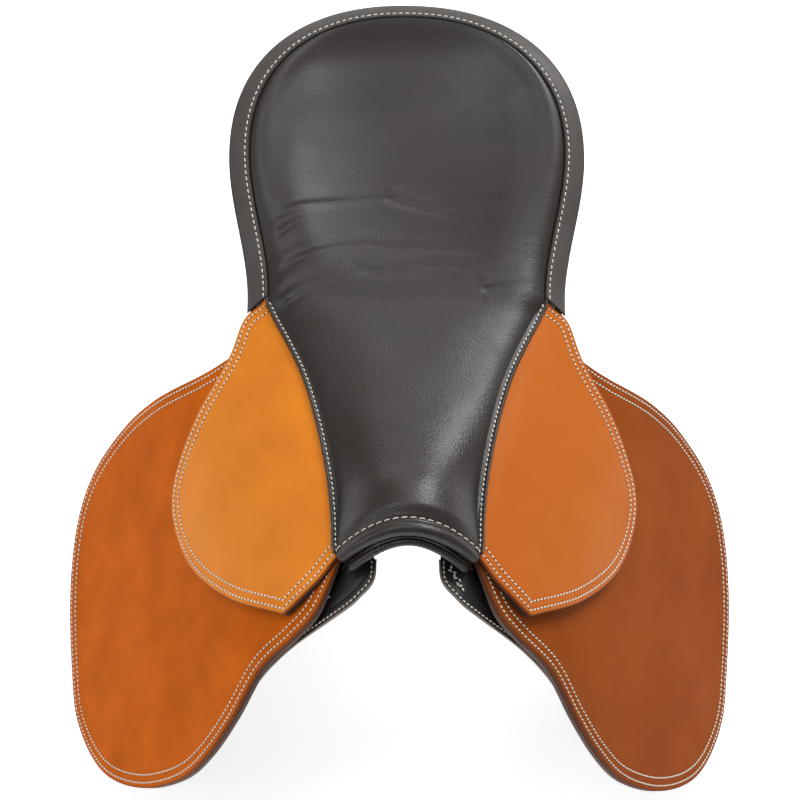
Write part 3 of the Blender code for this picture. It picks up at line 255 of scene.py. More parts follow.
def ease(t):
    """0 below 0, 1 above 1 and the cubic 3t^2 - 2t^3 between."""
    t = np.clip(t, 0.0, 1.0)
    return t * t * (3.0 - 2.0 * t)


def bell(distance, width):
    """A rounded bump: e to the minus (distance / width) squared."""
    return np.exp(-(distance / width) ** 2)


def through(knots, at):
    """A smooth curve through knots (place, value, ...): cubic Hermite, slopes by finite difference."""
    knots = np.array(knots, float)
    x = knots[:, 0]
    at = np.clip(np.asarray(at, float), x[0], x[-1])
    slopes = np.gradient(knots[:, 1:], x, axis=0)
    i = np.clip(np.searchsorted(x, at, side="right") - 1, 0, len(x) - 2)
    width = x[i + 1] - x[i]
    t = ((at - x[i]) / width)[..., None]
    width = width[..., None]
    p, q = knots[i, 1:], knots[i + 1, 1:]
    u, v = slopes[i] * width, slopes[i + 1] * width
    return ((2 * t**3 - 3 * t**2 + 1) * p + (t**3 - 2 * t**2 + t) * u
            + (-2 * t**3 + 3 * t**2) * q + (t**3 - t**2) * v)


def run_lengths(run):
    """The length along a run at each of its points."""
    return np.concatenate([[0.0], np.cumsum(np.linalg.norm(np.diff(run, axis=0), axis=1))])


def read_along(values, length, at):
    """Values known at some lengths along a run, read at others."""
    return np.stack([np.interp(at, length, column) for column in values.T], axis=1)


def even_run(run, count=None, at=None):
    """Points spread evenly by length along a run, or at the given shares of its length."""
    run = np.asarray(run, float)
    length = run_lengths(run)
    at = np.linspace(0.0, 1.0, count) if at is None else at
    return read_along(run, length, at * length[-1])


def smooth_run(points, count):
    """A Catmull-Rom curve through the points, spread evenly: on each stretch the cubic whose slope at a
    point is half the step between its neighbours."""
    points = np.array(points, float)
    padded = np.vstack([2 * points[0] - points[1], points, 2 * points[-1] - points[-2]])
    t = np.linspace(0.0, 1.0, 24, endpoint=False)[:, None]
    runs = [0.5 * (2 * b + (c - a) * t + (2 * a - 5 * b + 4 * c - d) * t**2 + (3 * b - a - 3 * c + d) * t**3)
            for a, b, c, d in zip(padded, padded[1:], padded[2:], padded[3:])]
    return even_run(np.vstack(runs + [points[-1:]]), count)


def unit(vectors):
    return vectors / np.linalg.norm(vectors, axis=-1, keepdims=True)


def rim_half_width(y, inset=0.0):
    """Half-width of the rim at y: an eased taper to the waist, and a superellipse behind the widest place."""
    y = np.asarray(y, float)
    taper = (y - RIM_TAPER_Y) / (RIM_WIDEST_Y - RIM_TAPER_Y)
    ahead = RIM_WAIST_HALF_WIDTH - inset + (RIM_HALF_WIDTH - RIM_WAIST_HALF_WIDTH) * ease(taper)
    share = np.clip((y - RIM_WIDEST_Y) / (RIM_REAR_Y - RIM_WIDEST_Y - inset), 0.0, 1.0)
    behind = (RIM_HALF_WIDTH - inset) * (1.0 - share**RIM_ROUNDNESS) ** (1.0 / RIM_ROUNDNESS)
    return np.where(y < RIM_WIDEST_Y, ahead, behind)


def rim_height(y):
    return RIM_LOW_Z + RIM_RISE * ease((np.asarray(y, float) + 0.05) / 0.27)


def border_tilt(y):
    """How far the border's outer edge lies under the rim's height."""
    return BORDER_TILT * (1.0 + 1.2 * ease((0.03 - y) / 0.07))


def rim_run(inset, side_steps=90, rear_steps=120):
    """The whole rim at an inset, right end to left end: the side by even steps of y, the rear by the angle of
    its superellipse. The ends are cut square to the fold line."""
    start = RIM_FRONT_Y - RIM_END_SKEW * (BORDER_WIDTH - inset)
    side = np.linspace(start, RIM_WIDEST_Y, side_steps, endpoint=False)
    angle = np.linspace(0.0, math.pi / 2, rear_steps)
    rear_y = RIM_WIDEST_Y + (RIM_REAR_Y - RIM_WIDEST_Y - inset) * np.sin(angle) ** (2.0 / RIM_ROUNDNESS)
    rear_x = (RIM_HALF_WIDTH - inset) * np.cos(angle) ** (2.0 / RIM_ROUNDNESS)
    x = np.concatenate([rim_half_width(side, inset), rear_x])
    y = np.concatenate([side, rear_y])
    x[-1] = 0.0
    half = np.stack([x, y, rim_height(y)], axis=1)
    return np.vstack([half, half[-2::-1] * [-1, 1, 1]])


ALONG = unit(FOLD_REAR - FOLD_FRONT)
OUT = unit(np.array([1.0, 0.0, 0.0]) - ALONG[0] * ALONG)
UP = np.cross(OUT, ALONG)
UP *= math.copysign(1.0, UP[2])


def fall_table():
    """Distance down the leaf with its out and up: running sums of the slope's cosine and minus its sine,
    set to meet the straight sewn part inboard of the fold."""
    down = np.arange(-0.060, 0.420, FALL_STEP)
    slope = np.interp(down, FALL_AT, FALL_SLOPE)
    out = np.cumsum(np.cos(slope)) * FALL_STEP
    up = -np.cumsum(np.sin(slope)) * FALL_STEP
    meet = np.argmin(abs(down - 2 * FALL_AT[0]))
    out += down[meet] * math.cos(FALL_SLOPE[0]) - out[meet]
    up += -down[meet] * math.sin(FALL_SLOPE[0]) - up[meet]
    return down, out, up


FALL_DOWN, FALL_OUT, FALL_UP = fall_table()


def on_leaf(pattern, height, side):
    """Pattern places (along, down), raised square to the leaf, in space: fold point + along * ALONG
    + (out + height * sin slope) * OUT + (up + height * cos slope) * UP."""
    pattern = np.asarray(pattern, float)
    along, down = pattern[..., 0], pattern[..., 1]
    slope = np.interp(down, FALL_AT, FALL_SLOPE)
    out = np.interp(down, FALL_DOWN, FALL_OUT) + height * np.sin(slope)
    up = np.interp(down, FALL_DOWN, FALL_UP) + height * np.cos(slope)
    return (FOLD_FRONT + along[..., None] * ALONG + out[..., None] * OUT + up[..., None] * UP) * [side, 1, 1]


def leaf_normal(pattern, side):
    slope = np.interp(pattern[..., 1], FALL_AT, FALL_SLOPE)[..., None]
    return (np.sin(slope) * OUT + np.cos(slope) * UP) * [side, 1, 1]


def sewn_place(x, y):
    """The pattern place of a point inboard of the fold line, from its plan view."""
    rel = np.stack([x - FOLD_FRONT[0], y - FOLD_FRONT[1]], axis=-1)
    return np.stack([rel @ ALONG[:2], (rel @ OUT[:2]) / math.cos(FALL_SLOPE[0])], axis=-1)


# Mesh making

def mesh_of_faces(name, points, quads, triangles=None):
    """A mesh from whole arrays of points, quads and triangles."""
    triangles = np.zeros((0, 3), int) if triangles is None else triangles
    loops = np.concatenate([quads.ravel(), triangles.ravel()])
    sizes = np.concatenate([np.full(len(quads), 4), np.full(len(triangles), 3)])
    mesh = bpy.data.meshes.new(name)
    mesh.vertices.add(len(points))
    mesh.vertices.foreach_set("co", np.asarray(points, np.float32).ravel())
    mesh.loops.add(len(loops))
    mesh.loops.foreach_set("vertex_index", loops.astype(np.int32))
    mesh.polygons.add(len(sizes))
    mesh.polygons.foreach_set("loop_start", np.concatenate([[0], np.cumsum(sizes)[:-1]]).astype(np.int32))
    mesh.update(calc_edges=True)
    return mesh


def grid_quads(index):
    """The quads between neighbours in a grid of point numbers."""
    return np.stack([index[:-1, :-1], index[:-1, 1:], index[1:, 1:], index[1:, :-1]], axis=-1).reshape(-1, 4)


def block_mesh(name, top, bottom):
    """A closed solid between two grids of the same size: both grids, and a wall round their rims."""
    rows, columns = top.shape[:2]
    index = np.arange(rows * columns).reshape(rows, columns)
    base = index + rows * columns
    ring, low = (np.concatenate([grid[0, :-1], grid[:-1, -1], grid[-1, :0:-1], grid[:0:-1, 0]])
                 for grid in (index, base))
    walls = np.stack([ring, np.roll(ring, -1), np.roll(low, -1), low], axis=1)
    quads = np.vstack([grid_quads(index), grid_quads(base)[:, ::-1], walls])
    return mesh_of_faces(name, np.vstack([top.reshape(-1, 3), bottom.reshape(-1, 3)]), quads)


def tube_mesh(name, rings):
    """A closed tube from its rings, rows by places round, each end closed with a fan to its middle."""
    rows, round_count = rings.shape[:2]
    index = np.arange(rows * round_count).reshape(rows, round_count)
    quads = grid_quads(np.hstack([index, index[:, :1]]))
    ends = rows * round_count + np.arange(2)
    first, last = index[0], index[-1]
    fan = [np.stack([np.full(round_count, ends[0]), np.roll(first, -1), first], axis=1),
           np.stack([np.full(round_count, ends[1]), last, np.roll(last, -1)], axis=1)]
    points = np.vstack([rings.reshape(-1, 3), rings[0].mean(axis=0), rings[-1].mean(axis=0)])
    return mesh_of_faces(name, points, quads, np.vstack(fan))


def turned_out(mesh):
    """Turns every face outward."""
    bm = bmesh.new()
    bm.from_mesh(mesh)
    bmesh.ops.recalc_face_normals(bm, faces=bm.faces)
    bm.to_mesh(mesh)
    bm.free()


def mesh_points(mesh):
    """The mesh's points as rows."""
    points = np.empty(len(mesh.vertices) * 3, np.float32)
    mesh.vertices.foreach_get("co", points)
    return points.reshape(-1, 3)


def placed(name, data):
    """An object of the data, put in the scene."""
    obj = bpy.data.objects.new(name, data)
    bpy.context.scene.collection.objects.link(obj)
    return obj


def new_piece(mesh, material, body, nodes=(), sharp=40.0):
    """The mesh as a piece that rides on a body, stands for its CAD nodes and takes its finish from a slot."""
    turned_out(mesh)
    mesh.shade_smooth()
    mesh.set_sharp_from_angle(angle=math.radians(sharp))
    mesh.materials.append(material)
    obj = placed(mesh.name, mesh)
    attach(obj, body)
    if nodes:
        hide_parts(*nodes)
    return obj


def write_edge(mesh, distances=None):
    """Writes each point's distance from the cut edge, for the darker edge tone there (dye, and on the skirts
    also painted shade), or that no edge is near.
    """
    if distances is None:
        distances = np.full(len(mesh.vertices), NO_EDGE_NEAR)
    values = np.ravel(distances).astype(np.float32)
    mesh.attributes.new("from_edge", "FLOAT", "POINT").data.foreach_set("value", values)


def bevelled(piece, width, angle):
    """Rounds a piece's edges where its faces meet at more than an angle in degrees."""
    bevel = piece.modifiers.new("edge", "BEVEL")
    bevel.width = width
    bevel.segments = 2
    bevel.limit_method = "ANGLE"
    bevel.angle_limit = math.radians(angle)


def tube_rings(path, across, up, width, height, sides=20, power=2.0):
    """Rings round a path: superellipses, |x/width|^power + |y/height|^power = 1, in each point's frame."""
    turn = np.linspace(0.0, 2 * math.pi, sides, endpoint=False)
    x = np.sign(np.cos(turn)) * abs(np.cos(turn)) ** (2 / power)
    y = np.sign(np.sin(turn)) * abs(np.sin(turn)) ** (2 / power)
    width = np.broadcast_to(width, len(path))[:, None, None]
    height = np.broadcast_to(height, len(path))[:, None, None]
    x, y = x[None, :, None], y[None, :, None]
    return path[:, None] + width * x * across[:, None] + height * y * up[:, None]


# Materials

def linear(code):
    """An sRGB hex colour as the linear colour that shaders take, with alpha 1."""
    values = np.array([int(code[i:i + 2], 16) for i in (1, 3, 5)]) / 255
    return (*np.where(values <= 0.04045, values / 12.92, ((values + 0.055) / 1.055) ** 2.4), 1.0)


def add(tree, kind, links=None, sockets=None, **settings):
    """A node with its settings, its plain socket values and the outputs linked to its sockets."""
    made = tree.nodes.new(kind)
    for key, value in settings.items():
        setattr(made, key, value)
    for key, value in (sockets or {}).items():
        made.inputs[key].default_value = value
    for key, source in (links or {}).items():
        tree.links.new(source, made.inputs[key])
    return made


def new_material(name, **sockets):
    """A material, its node tree and its shader, whose sockets are named here with _ for each space."""
    material = bpy.data.materials.new(name)
    material.use_nodes = True
    tree = material.node_tree
    shader = tree.nodes["Principled BSDF"]
    for key, value in sockets.items():
        shader.inputs[key.replace("_", " ")].default_value = value
    return material, tree, shader


def hide(name, colour, dark, roughness, pore_mm, pore_depth_mm, mottle=0.35, edge=None, grain_front=False,
         coat=0.0, specular=0.5):
    """A tanned hide: blotches 45 mm across from the dye, fibres under 1 mm, and pores of the given size."""
    material, tree, shader = new_material(name, Roughness=roughness, Coat_Weight=coat, Coat_Roughness=0.35,
                                          Specular_IOR_Level=specular)
    where = add(tree, "ShaderNodeTexCoord").outputs["Object"]
    at = {"Vector": where}
    blotch = add(tree, "ShaderNodeTexNoise", at, {"Scale": 22.0, "Detail": 5.0, "Roughness": 0.6})
    fibre = add(tree, "ShaderNodeTexNoise", at, {"Scale": 900.0, "Detail": 3.0, "Roughness": 0.7})
    pores = add(tree, "ShaderNodeTexVoronoi", at, {"Scale": 1000.0 / pore_mm, "Randomness": 0.9},
                feature="SMOOTH_F1")
    patchy = add(tree, "ShaderNodeMapRange", {0: blotch.outputs[0]}, {1: 0.35, 2: 0.70, 3: 0.0, 4: mottle})
    flecked = add(tree, "ShaderNodeMapRange", {0: fibre.outputs[0]},
                  {1: 0.40, 2: 0.75, 3: 0.0, 4: 0.45 * mottle})
    tone = add(tree, "ShaderNodeMix", {0: patchy.outputs[0]}, {6: linear(colour), 7: linear(dark)},
               data_type="RGBA")
    tone = add(tree, "ShaderNodeMix", {0: flecked.outputs[0], 6: tone.outputs[2]}, {7: linear(dark)},
               data_type="RGBA")
    if edge:
        distance = add(tree, "ShaderNodeAttribute", attribute_name="from_edge").outputs["Fac"]
        # Near the cut edge the tone turns to the edge colour: the edge's own dye, and on the skirts also
        # painted shade for the dark line under the edge
        edge_dye_and_shade = add(tree, "ShaderNodeMapRange", {0: distance}, {1: 0.0002, 2: 0.0016, 3: 0.85, 4: 0.0})
        tone = add(tree, "ShaderNodeMix", {0: edge_dye_and_shade.outputs[0], 6: tone.outputs[2]}, {7: linear(edge)},
                   data_type="RGBA")
    tree.links.new(tone.outputs[2], shader.inputs["Base Color"])
    deep = add(tree, "ShaderNodeMapRange", {0: pores.outputs[0]}, {1: 0.0, 2: 0.75, 3: 1.0, 4: 0.0})
    height = deep.outputs[0]
    if grain_front:
        height = waist_grain(tree, where, height)
    fine = add(tree, "ShaderNodeBump", {"Height": fibre.outputs[0]}, {"Strength": 0.35, "Distance": 0.0001})
    bump = add(tree, "ShaderNodeBump", {"Height": height, "Normal": fine.outputs[0]},
               {"Strength": 0.8, "Distance": pore_depth_mm / 1000})
    tree.links.new(bump.outputs[0], shader.inputs["Normal"])
    rough = add(tree, "ShaderNodeMapRange", {0: blotch.outputs[0]},
                {1: 0.3, 2: 0.7, 3: roughness - 0.05, 4: roughness + 0.07})
    tree.links.new(rough.outputs[0], shader.inputs["Roughness"])
    return material


def waist_grain(tree, where, height):
    """The seat's grain: its pebbles lie flatter towards the rear, and fine wrinkles 4 mm apart and 70 mm long
    run across its creased waist."""
    place = add(tree, "ShaderNodeSeparateXYZ", {0: where}).outputs[1]
    front = add(tree, "ShaderNodeMapRange", {0: place}, {1: -0.16, 2: 0.06, 3: 1.0, 4: 0.45})
    pebbles = add(tree, "ShaderNodeMath", {0: height, 1: front.outputs[0]}, operation="MULTIPLY")
    long = add(tree, "ShaderNodeMapping", {"Vector": where}, {"Scale": (14.0, 250.0, 20.0)})
    lines = add(tree, "ShaderNodeTexNoise", {"Vector": long.outputs[0]}, {"Scale": 1.0, "Detail": 3.0})
    ahead = add(tree, "ShaderNodeMapRange", {0: place}, {1: -0.07, 2: 0.00, 3: 0.0, 4: 0.9},
                interpolation_type="SMOOTHSTEP")
    behind = add(tree, "ShaderNodeMapRange", {0: place}, {1: 0.06, 2: 0.12, 3: 1.0, 4: 0.0},
                 interpolation_type="SMOOTHSTEP")
    waist = add(tree, "ShaderNodeMath", {0: ahead.outputs[0], 1: behind.outputs[0]}, operation="MULTIPLY")
    wrinkles = add(tree, "ShaderNodeMath", {0: lines.outputs[0], 1: waist.outputs[0]}, operation="MULTIPLY")
    both = add(tree, "ShaderNodeMath", {0: pebbles.outputs[0], 1: wrinkles.outputs[0]}, operation="ADD")
    return both.outputs[0]


def plain_fibre(name, colour, dark, roughness, scale):
    """Twisted or foamed stuff: one noise in its colour and its height."""
    material, tree, shader = new_material(name, Roughness=roughness, Sheen_Weight=0.2)
    where = add(tree, "ShaderNodeTexCoord").outputs["Object"]
    noise = add(tree, "ShaderNodeTexNoise", {"Vector": where}, {"Scale": scale, "Detail": 3.0}).outputs[0]
    tone = add(tree, "ShaderNodeMix", {0: noise}, {6: linear(colour), 7: linear(dark)}, data_type="RGBA")
    tree.links.new(tone.outputs[2], shader.inputs["Base Color"])
    bump = add(tree, "ShaderNodeBump", {"Height": noise}, {"Strength": 0.6, "Distance": 0.0002})
    tree.links.new(bump.outputs[0], shader.inputs["Normal"])
    return material


def woven_web(name, colour, dark):
    """Woven flax web: threads 1.6 mm apart both ways, over and under each other."""
    material, tree, shader = new_material(name, Roughness=0.85, Sheen_Weight=0.3)
    where = add(tree, "ShaderNodeTexCoord").outputs["Object"]
    long_wave, cross_wave = (add(tree, "ShaderNodeTexWave", {"Vector": where},
                                 {"Scale": 100.0, "Distortion": 0.4}, bands_direction=axis).outputs[1]
                             for axis in "XY")
    over = add(tree, "ShaderNodeMath", {0: long_wave, 1: cross_wave}, operation="MULTIPLY").outputs[0]
    tone = add(tree, "ShaderNodeMix", {0: over}, {6: linear(dark), 7: linear(colour)}, data_type="RGBA")
    tree.links.new(tone.outputs[2], shader.inputs["Base Color"])
    bump = add(tree, "ShaderNodeBump", {"Height": over}, {"Strength": 0.8, "Distance": 0.0004})
    tree.links.new(bump.outputs[0], shader.inputs["Normal"])
    return material


def metal(name, colour, roughness, scratch_scale):
    """Forged or rolled steel: streaks from finishing in its gloss, and shallow dents that show in a glint."""
    material, tree, shader = new_material(name, Metallic=1.0, Roughness=roughness, Base_Color=linear(colour))
    where = add(tree, "ShaderNodeTexCoord").outputs["Object"]
    long = add(tree, "ShaderNodeMapping", {"Vector": where}, {"Scale": (scratch_scale, 40.0, 40.0)})
    streak = add(tree, "ShaderNodeTexNoise", {"Vector": long.outputs[0]}, {"Scale": 1.0, "Detail": 4.0})
    rough = add(tree, "ShaderNodeMapRange", {0: streak.outputs[0]},
                {1: 0.3, 2: 0.7, 3: roughness - 0.1, 4: roughness + 0.15})
    tree.links.new(rough.outputs[0], shader.inputs["Roughness"])
    dents = add(tree, "ShaderNodeTexNoise", {"Vector": where}, {"Scale": 260.0, "Detail": 2.0})
    bump = add(tree, "ShaderNodeBump", {"Height": dents.outputs[0]}, {"Strength": 0.15, "Distance": 0.00004})
    tree.links.new(bump.outputs[0], shader.inputs["Normal"])
    return material


def laminated_beech(name):
    """Moulded beech plywood: grain lines 2 mm apart along the tree, in pale and warm bands."""
    material, tree, shader = new_material(name, Roughness=0.5, Coat_Weight=0.2)
    where = add(tree, "ShaderNodeTexCoord").outputs["Object"]
    long = add(tree, "ShaderNodeMapping", {"Vector": where}, {"Scale": (300.0, 12.0, 300.0)}).outputs[0]
    grain = add(tree, "ShaderNodeTexNoise", {"Vector": long}, {"Scale": 1.0, "Detail": 5.0}).outputs[0]
    flake = add(tree, "ShaderNodeTexWave", {"Vector": where},
                {"Scale": 55.0, "Distortion": 3.0, "Detail": 2.0}, bands_direction="Z")
    tone = add(tree, "ShaderNodeMix", {0: grain}, {6: linear("#C79A66"), 7: linear("#A37443")},
               data_type="RGBA")
    tone = add(tree, "ShaderNodeMix", {0: flake.outputs[1], 6: tone.outputs[2]}, {7: linear("#B98A55")},
               data_type="RGBA")
    tree.links.new(tone.outputs[2], shader.inputs["Base Color"])
    bump = add(tree, "ShaderNodeBump", {"Height": grain}, {"Strength": 0.3, "Distance": 0.0002})
    tree.links.new(bump.outputs[0], shader.inputs["Normal"])
    return material


MATERIALS = {}


def make_materials(looks):
    """Every finish of the saddle, by the name that its pieces use."""
    MATERIALS.update(
        # Soft seat hide: drum-tumbled, so it has round pebbles 1.5 mm across and a low wide gloss
        seat=hide("tumbled_seat_hide", looks.seat, "#1F1C1B", 0.38, 1.4, 0.20, 0.30, grain_front=True),
        # Smooth black hide of the border: pressed flat, so it is finer. Its grey tone is partly its own and
        # partly painted light, lifted to stand for the light its right side lacks
        border=hide("pressed_border_hide", looks.border, "#2F2C2B", 0.50, 0.9, 0.06, 0.35, edge="#0E0C0B",
                    specular=0.30),
        # Harness hide of the panels and sweat flaps: black, dull, with open pores
        black=hide("black_harness_hide", looks.black, "#120F0E", 0.50, 1.1, 0.08, 0.4, edge="#2B1D18"),
        # Oak-bark skirt hide: fine pores, waxed face, and a darker cut edge that is partly its own dye and
        # partly painted shade of the dark line under it. Each leaf is its own cut; the right leaf's darker
        # tone is partly its own and partly painted shade, because that side turns away from the light
        skirt_left=hide("waxed_skirt_hide_left", looks.skirt, "#C9661C", 0.50, 0.7, 0.04, 0.36,
                        edge="#7E3C1E", specular=0.16),
        skirt_right=hide("waxed_skirt_hide_right", looks.skirt_right, "#BE5A1C", 0.50, 0.7, 0.04, 0.38,
                         edge="#74381E", specular=0.12),
        # Flap hide: the same tannage, dyed a little deeper and more mottled. The right flap's much darker
        # tone is partly its own and partly painted shade, because that flap turns away from the light
        flap_left=hide("waxed_flap_hide_left", looks.flap, "#A04A14", 0.55, 0.7, 0.04, 0.50, edge="#75462C",
                       specular=0.03),
        flap_right=hide("waxed_flap_hide_right", looks.flap_right, "#86401A", 0.55, 0.7, 0.04, 0.50,
                        edge="#6A3E2A", specular=0.03),
        # Suede turned out along the flaps' hems: grey-brown, with a coarse nap
        hem=hide("suede_hem", "#6E5B54", "#4A3833", 0.85, 1.6, 0.16, 0.5),
        # Sweat flap hide: black, with its cut edge left raw and grey
        sweat=hide("sweat_flap_hide", looks.black, "#120F0E", 0.46, 1.1, 0.10, 0.4, edge="#9A8F86"),
        # Flesh-side lining: dark brown and dull, with a coarse nap
        lining=hide("flesh_side_lining", looks.lining, "#1C100C", 0.75, 1.3, 0.12, 0.5),
        # Strap hide: stretched bridle butt, dark brown, with a waxy face
        strap=hide("bridle_strap_hide", "#4A281A", "#26130C", 0.42, 0.7, 0.03, 0.4, edge="#180C07", coat=0.1),
        # Waxed linen thread: cream, twisted
        thread=plain_fibre("waxed_linen_thread", looks.thread, "#E9DCBC", 0.6, 2500.0),
        # Bleached thread of the seat: whiter and cleaner
        white_thread=plain_fibre("bleached_seat_thread", "#F4F0E6", "#D8D2C4", 0.6, 2500.0),
        # Needle holes: open fibres in shadow
        hole=plain_fibre("needle_hole_shadow", "#1A0D07", "#0B0503", 0.9, 900.0),
        # Latex foam under the seat: pale, with cells about 1 mm across
        foam=plain_fibre("latex_foam", "#D9CDA8", "#B5A67C", 0.9, 1000.0),
        web=woven_web("flax_webbing", "#B9A884", "#6F6044"),
        beech=laminated_beech("moulded_beech"),
        # Drop-forged stainless bars: bright, softly polished
        forged=metal("forged_stainless_steel", "#B8BABC", 0.28, 500.0),
        # Rolled mild steel plates with a grey zinc coat
        plate=metal("zinc_coated_plate", "#8C9094", 0.42, 200.0),
        # Blued spring steel: dark, with a straight rolled streak
        spring=metal("blued_spring_steel", "#4A4E58", 0.35, 700.0),
    )


# Leather leaves

def extended(run, reach=0.030):
    """A run carried on straight past both ends."""
    step = np.linspace(reach, 0.0, 20, endpoint=False)[:, None]
    head, tail = unit(run[0] - run[1]), unit(run[-1] - run[-2])
    return np.vstack([run[0] + step * head, run, run[-1] + step[::-1] * tail])


def offset_run(run, distance):
    """A run moved square to itself to its left, without the places that come nearer to it than that."""
    run = even_run(extended(run), 1500)
    tangent = unit(np.gradient(run, axis=0))
    moved = run + distance * np.stack([-tangent[:, 1], tangent[:, 0]], axis=1)
    gap = np.sqrt(((moved[:, None] - run[None]) ** 2).sum(axis=2).min(axis=1))
    return moved[gap > 0.998 * distance - 1e-7]


def trimmed(run, line):
    """The run from its last crossing of a line, given as a point and a direction, before its middle."""
    point, direction = np.array(line, float)
    off = run - point
    side = direction[0] * off[:, 1] - direction[1] * off[:, 0]
    middle = len(run) // 2
    outside = np.nonzero(side[:middle] * side[middle] <= 0)[0]
    if not len(outside):
        return run
    i = outside[-1]
    share = side[i] / (side[i] - side[i + 1])
    return np.vstack([run[i] + share * (run[i + 1] - run[i]), run[i + 1:]])


def softened(run, passes=2):
    """Rounds a run's corners: each point becomes the weighted mean of its neighbours, the ends kept."""
    for _ in range(passes):
        inner = (run[:-2] + 2 * run[1:-1] + run[2:]) / 4
        run = np.vstack([run[:1], inner, run[-1:]])
    return run


def edge_ring(segments, distance):
    """One run at a distance inside the free edge. A segment is its curve's points, its start line, its end
    line and the number of places on it."""
    parts = []
    for points, start, end, count in segments:
        run = offset_run(smooth_run(points, 600), distance)
        run = trimmed(trimmed(run, start)[::-1], end)[::-1]
        parts.append(even_run(run, count))
    whole = parts[0]
    for part in parts[1:]:
        part[0] = whole[-1] = (whole[-1] + part[0]) / 2
        whole = np.vstack([whole, part[1:]])
    return softened(whole)


CORNER_LINE = ((-0.024, 0.0535), (0.86, -0.51))
SKIRT_SEGMENTS = ((SKIRT_REAR_EDGE, FOLD_LINE, CORNER_LINE, 250),
                  (SKIRT_FRONT_EDGE, CORNER_LINE, FOLD_LINE, 56))
FLAP_SEGMENTS = ((FLAP_EDGE, FOLD_LINE, FOLD_LINE, 430),)
SWEAT_SEGMENTS = ((SWEAT_EDGE, ((0.176, 0.040), (0.975, 0.222)), ((-0.0095, -0.0260), (0.14, 0.99)), 320),)

# Distance from the edge and depth under the face: a rounded edge, a groove under a stitch row, and the last
# ring inside both rows
ROUND_EDGE = ((0.0, 0.0009), (0.00025, 0.0003), (0.0008, 0.00005), (0.0022, 0.0))
GROOVE = ((-0.0009, 0.0), (-0.0004, 0.0002), (0.0, 0.00035), (0.0004, 0.0002), (0.0009, 0.0))
LAST_RING = (0.0125, 0.0)


def stitched_profile(*rows):
    """The edge's profile with a groove under each row of stitches."""
    grooves = tuple((row + step, depth) for row in rows for step, depth in GROOVE)
    return (*ROUND_EDGE, *grooves, LAST_RING)


def sheet_grids(segments, top_path, profile, blend_rows):
    """A leaf's pattern as a grid: runs inside its free edge by the profile, then straight across to the top
    path. Also the depth of each row under the face and its distance from the edge."""
    rings = np.array([edge_ring(segments, distance) for distance, _ in profile])
    inner = rings[-1]
    shares = run_lengths(inner)
    path = np.vstack([inner[:1], np.reshape(top_path, (-1, 2)), inner[-1:]])
    far = even_run(path, at=shares / shares[-1])
    w = np.linspace(0.0, 1.0, blend_rows + 1)[1:, None, None]
    pattern = np.vstack([rings, inner * (1 - w) + far * w])
    depth = np.array([d for _, d in profile] + [0.0] * blend_rows)
    distance = np.array([d for d, _ in profile] + [profile[-1][0] + NO_EDGE_NEAR * v for v in w.ravel()])
    return pattern, depth, distance


def skirt_lift(pattern):
    """The skirt stands off the flap towards its free edge, and most of all at its front corner."""
    front = ease((0.030 - pattern[..., 0]) / 0.045) * ease(pattern[..., 1] / 0.035)
    return 0.0038 * ease(pattern[..., 1] / 0.10) + 0.0018 * front


def flap_wave(pattern):
    """The flap's hem swings out in one long wave."""
    down = ease((pattern[..., 1] - 0.14) / 0.20)
    return 0.0028 * down * (0.5 + 0.5 * np.sin(2 * math.pi * pattern[..., 0] / 0.19 + 1.0))


def no_lift(pattern):
    """A sweat flap lies flat on its panel."""
    return 0.0 * pattern[..., 0]


def leaf_piece(name, grids, face, thickness, side, lift, material, body, nodes, hem=0.0):
    """A leaf between its face and its back. A hem thickens its back over the last 8 mm to the edge, clear of
    the fold."""
    pattern, depth, distance = grids
    height = face + lift(pattern)
    top = on_leaf(pattern, height - depth[:, None], side)
    under = np.minimum(depth, 0.0009) * (distance < 0.002)
    turned = hem * (1 - ease(distance / 0.008))[:, None] * ease((pattern[..., 1] - 0.006) / 0.030)
    bottom = on_leaf(pattern, height - thickness + under[:, None] - turned, side)
    mesh = block_mesh(name, top, bottom)
    write_edge(mesh, np.tile(np.repeat(distance, pattern.shape[1]), 2))
    new_piece(mesh, material, body, nodes)


def crescent_grid(inset, rows=14, columns=190):
    """The strip between the seat's seam and the fold line: even steps along it, straight across, and nowhere
    narrower than 0.6 mm."""
    y = np.linspace(*STRIP_ENDS, columns)
    seam = sewn_place(seat_half_width(y) + inset, y)
    seam[:, 1] = np.minimum(seam[:, 1], -0.0006)
    fold = np.stack([np.linspace(FOLD_START, FOLD_END, columns), 0.0 * y], axis=1)
    w = np.linspace(0.0, 1.0, rows)[:, None, None]
    return seam * (1 - w) + fold * w


def crescent_piece(name, inset, face, low, side, material, nodes):
    """The strip of a leaf that stays sewn under the seat, between its face and the low face of its lining."""
    pattern = crescent_grid(inset)
    mesh = block_mesh(name, on_leaf(pattern, face, side), on_leaf(pattern, low, side))
    write_edge(mesh)
    new_piece(mesh, material, "saddle", nodes)


# Stitches

STITCH_ALONG = np.array([-0.5, -0.42, -0.22, 0.22, 0.42, 0.5])
STITCH_SWELL = np.array([0.0, 0.72, 1.0, 1.0, 0.72, 0.0])
STITCH_RISE = np.array([-0.9, -0.15, 0.35, 0.35, -0.15, -0.9])
STITCH_SIDES = 6
# Pitches, and halves of the thread's thickness, of the rows that aren't among the settings
TACK_PITCH = 0.0036
TACK_THREAD = 0.0008
BOX_PITCH = 0.0032
BOX_THREAD = 0.0004
BORDER_THREAD = 0.0005
POMMEL_THREAD = 0.00055
# Scale of a needle hole: half its length along the row, half its width, and its height
HOLE_SIZES = np.array([0.00075, 0.00050, 0.00035])


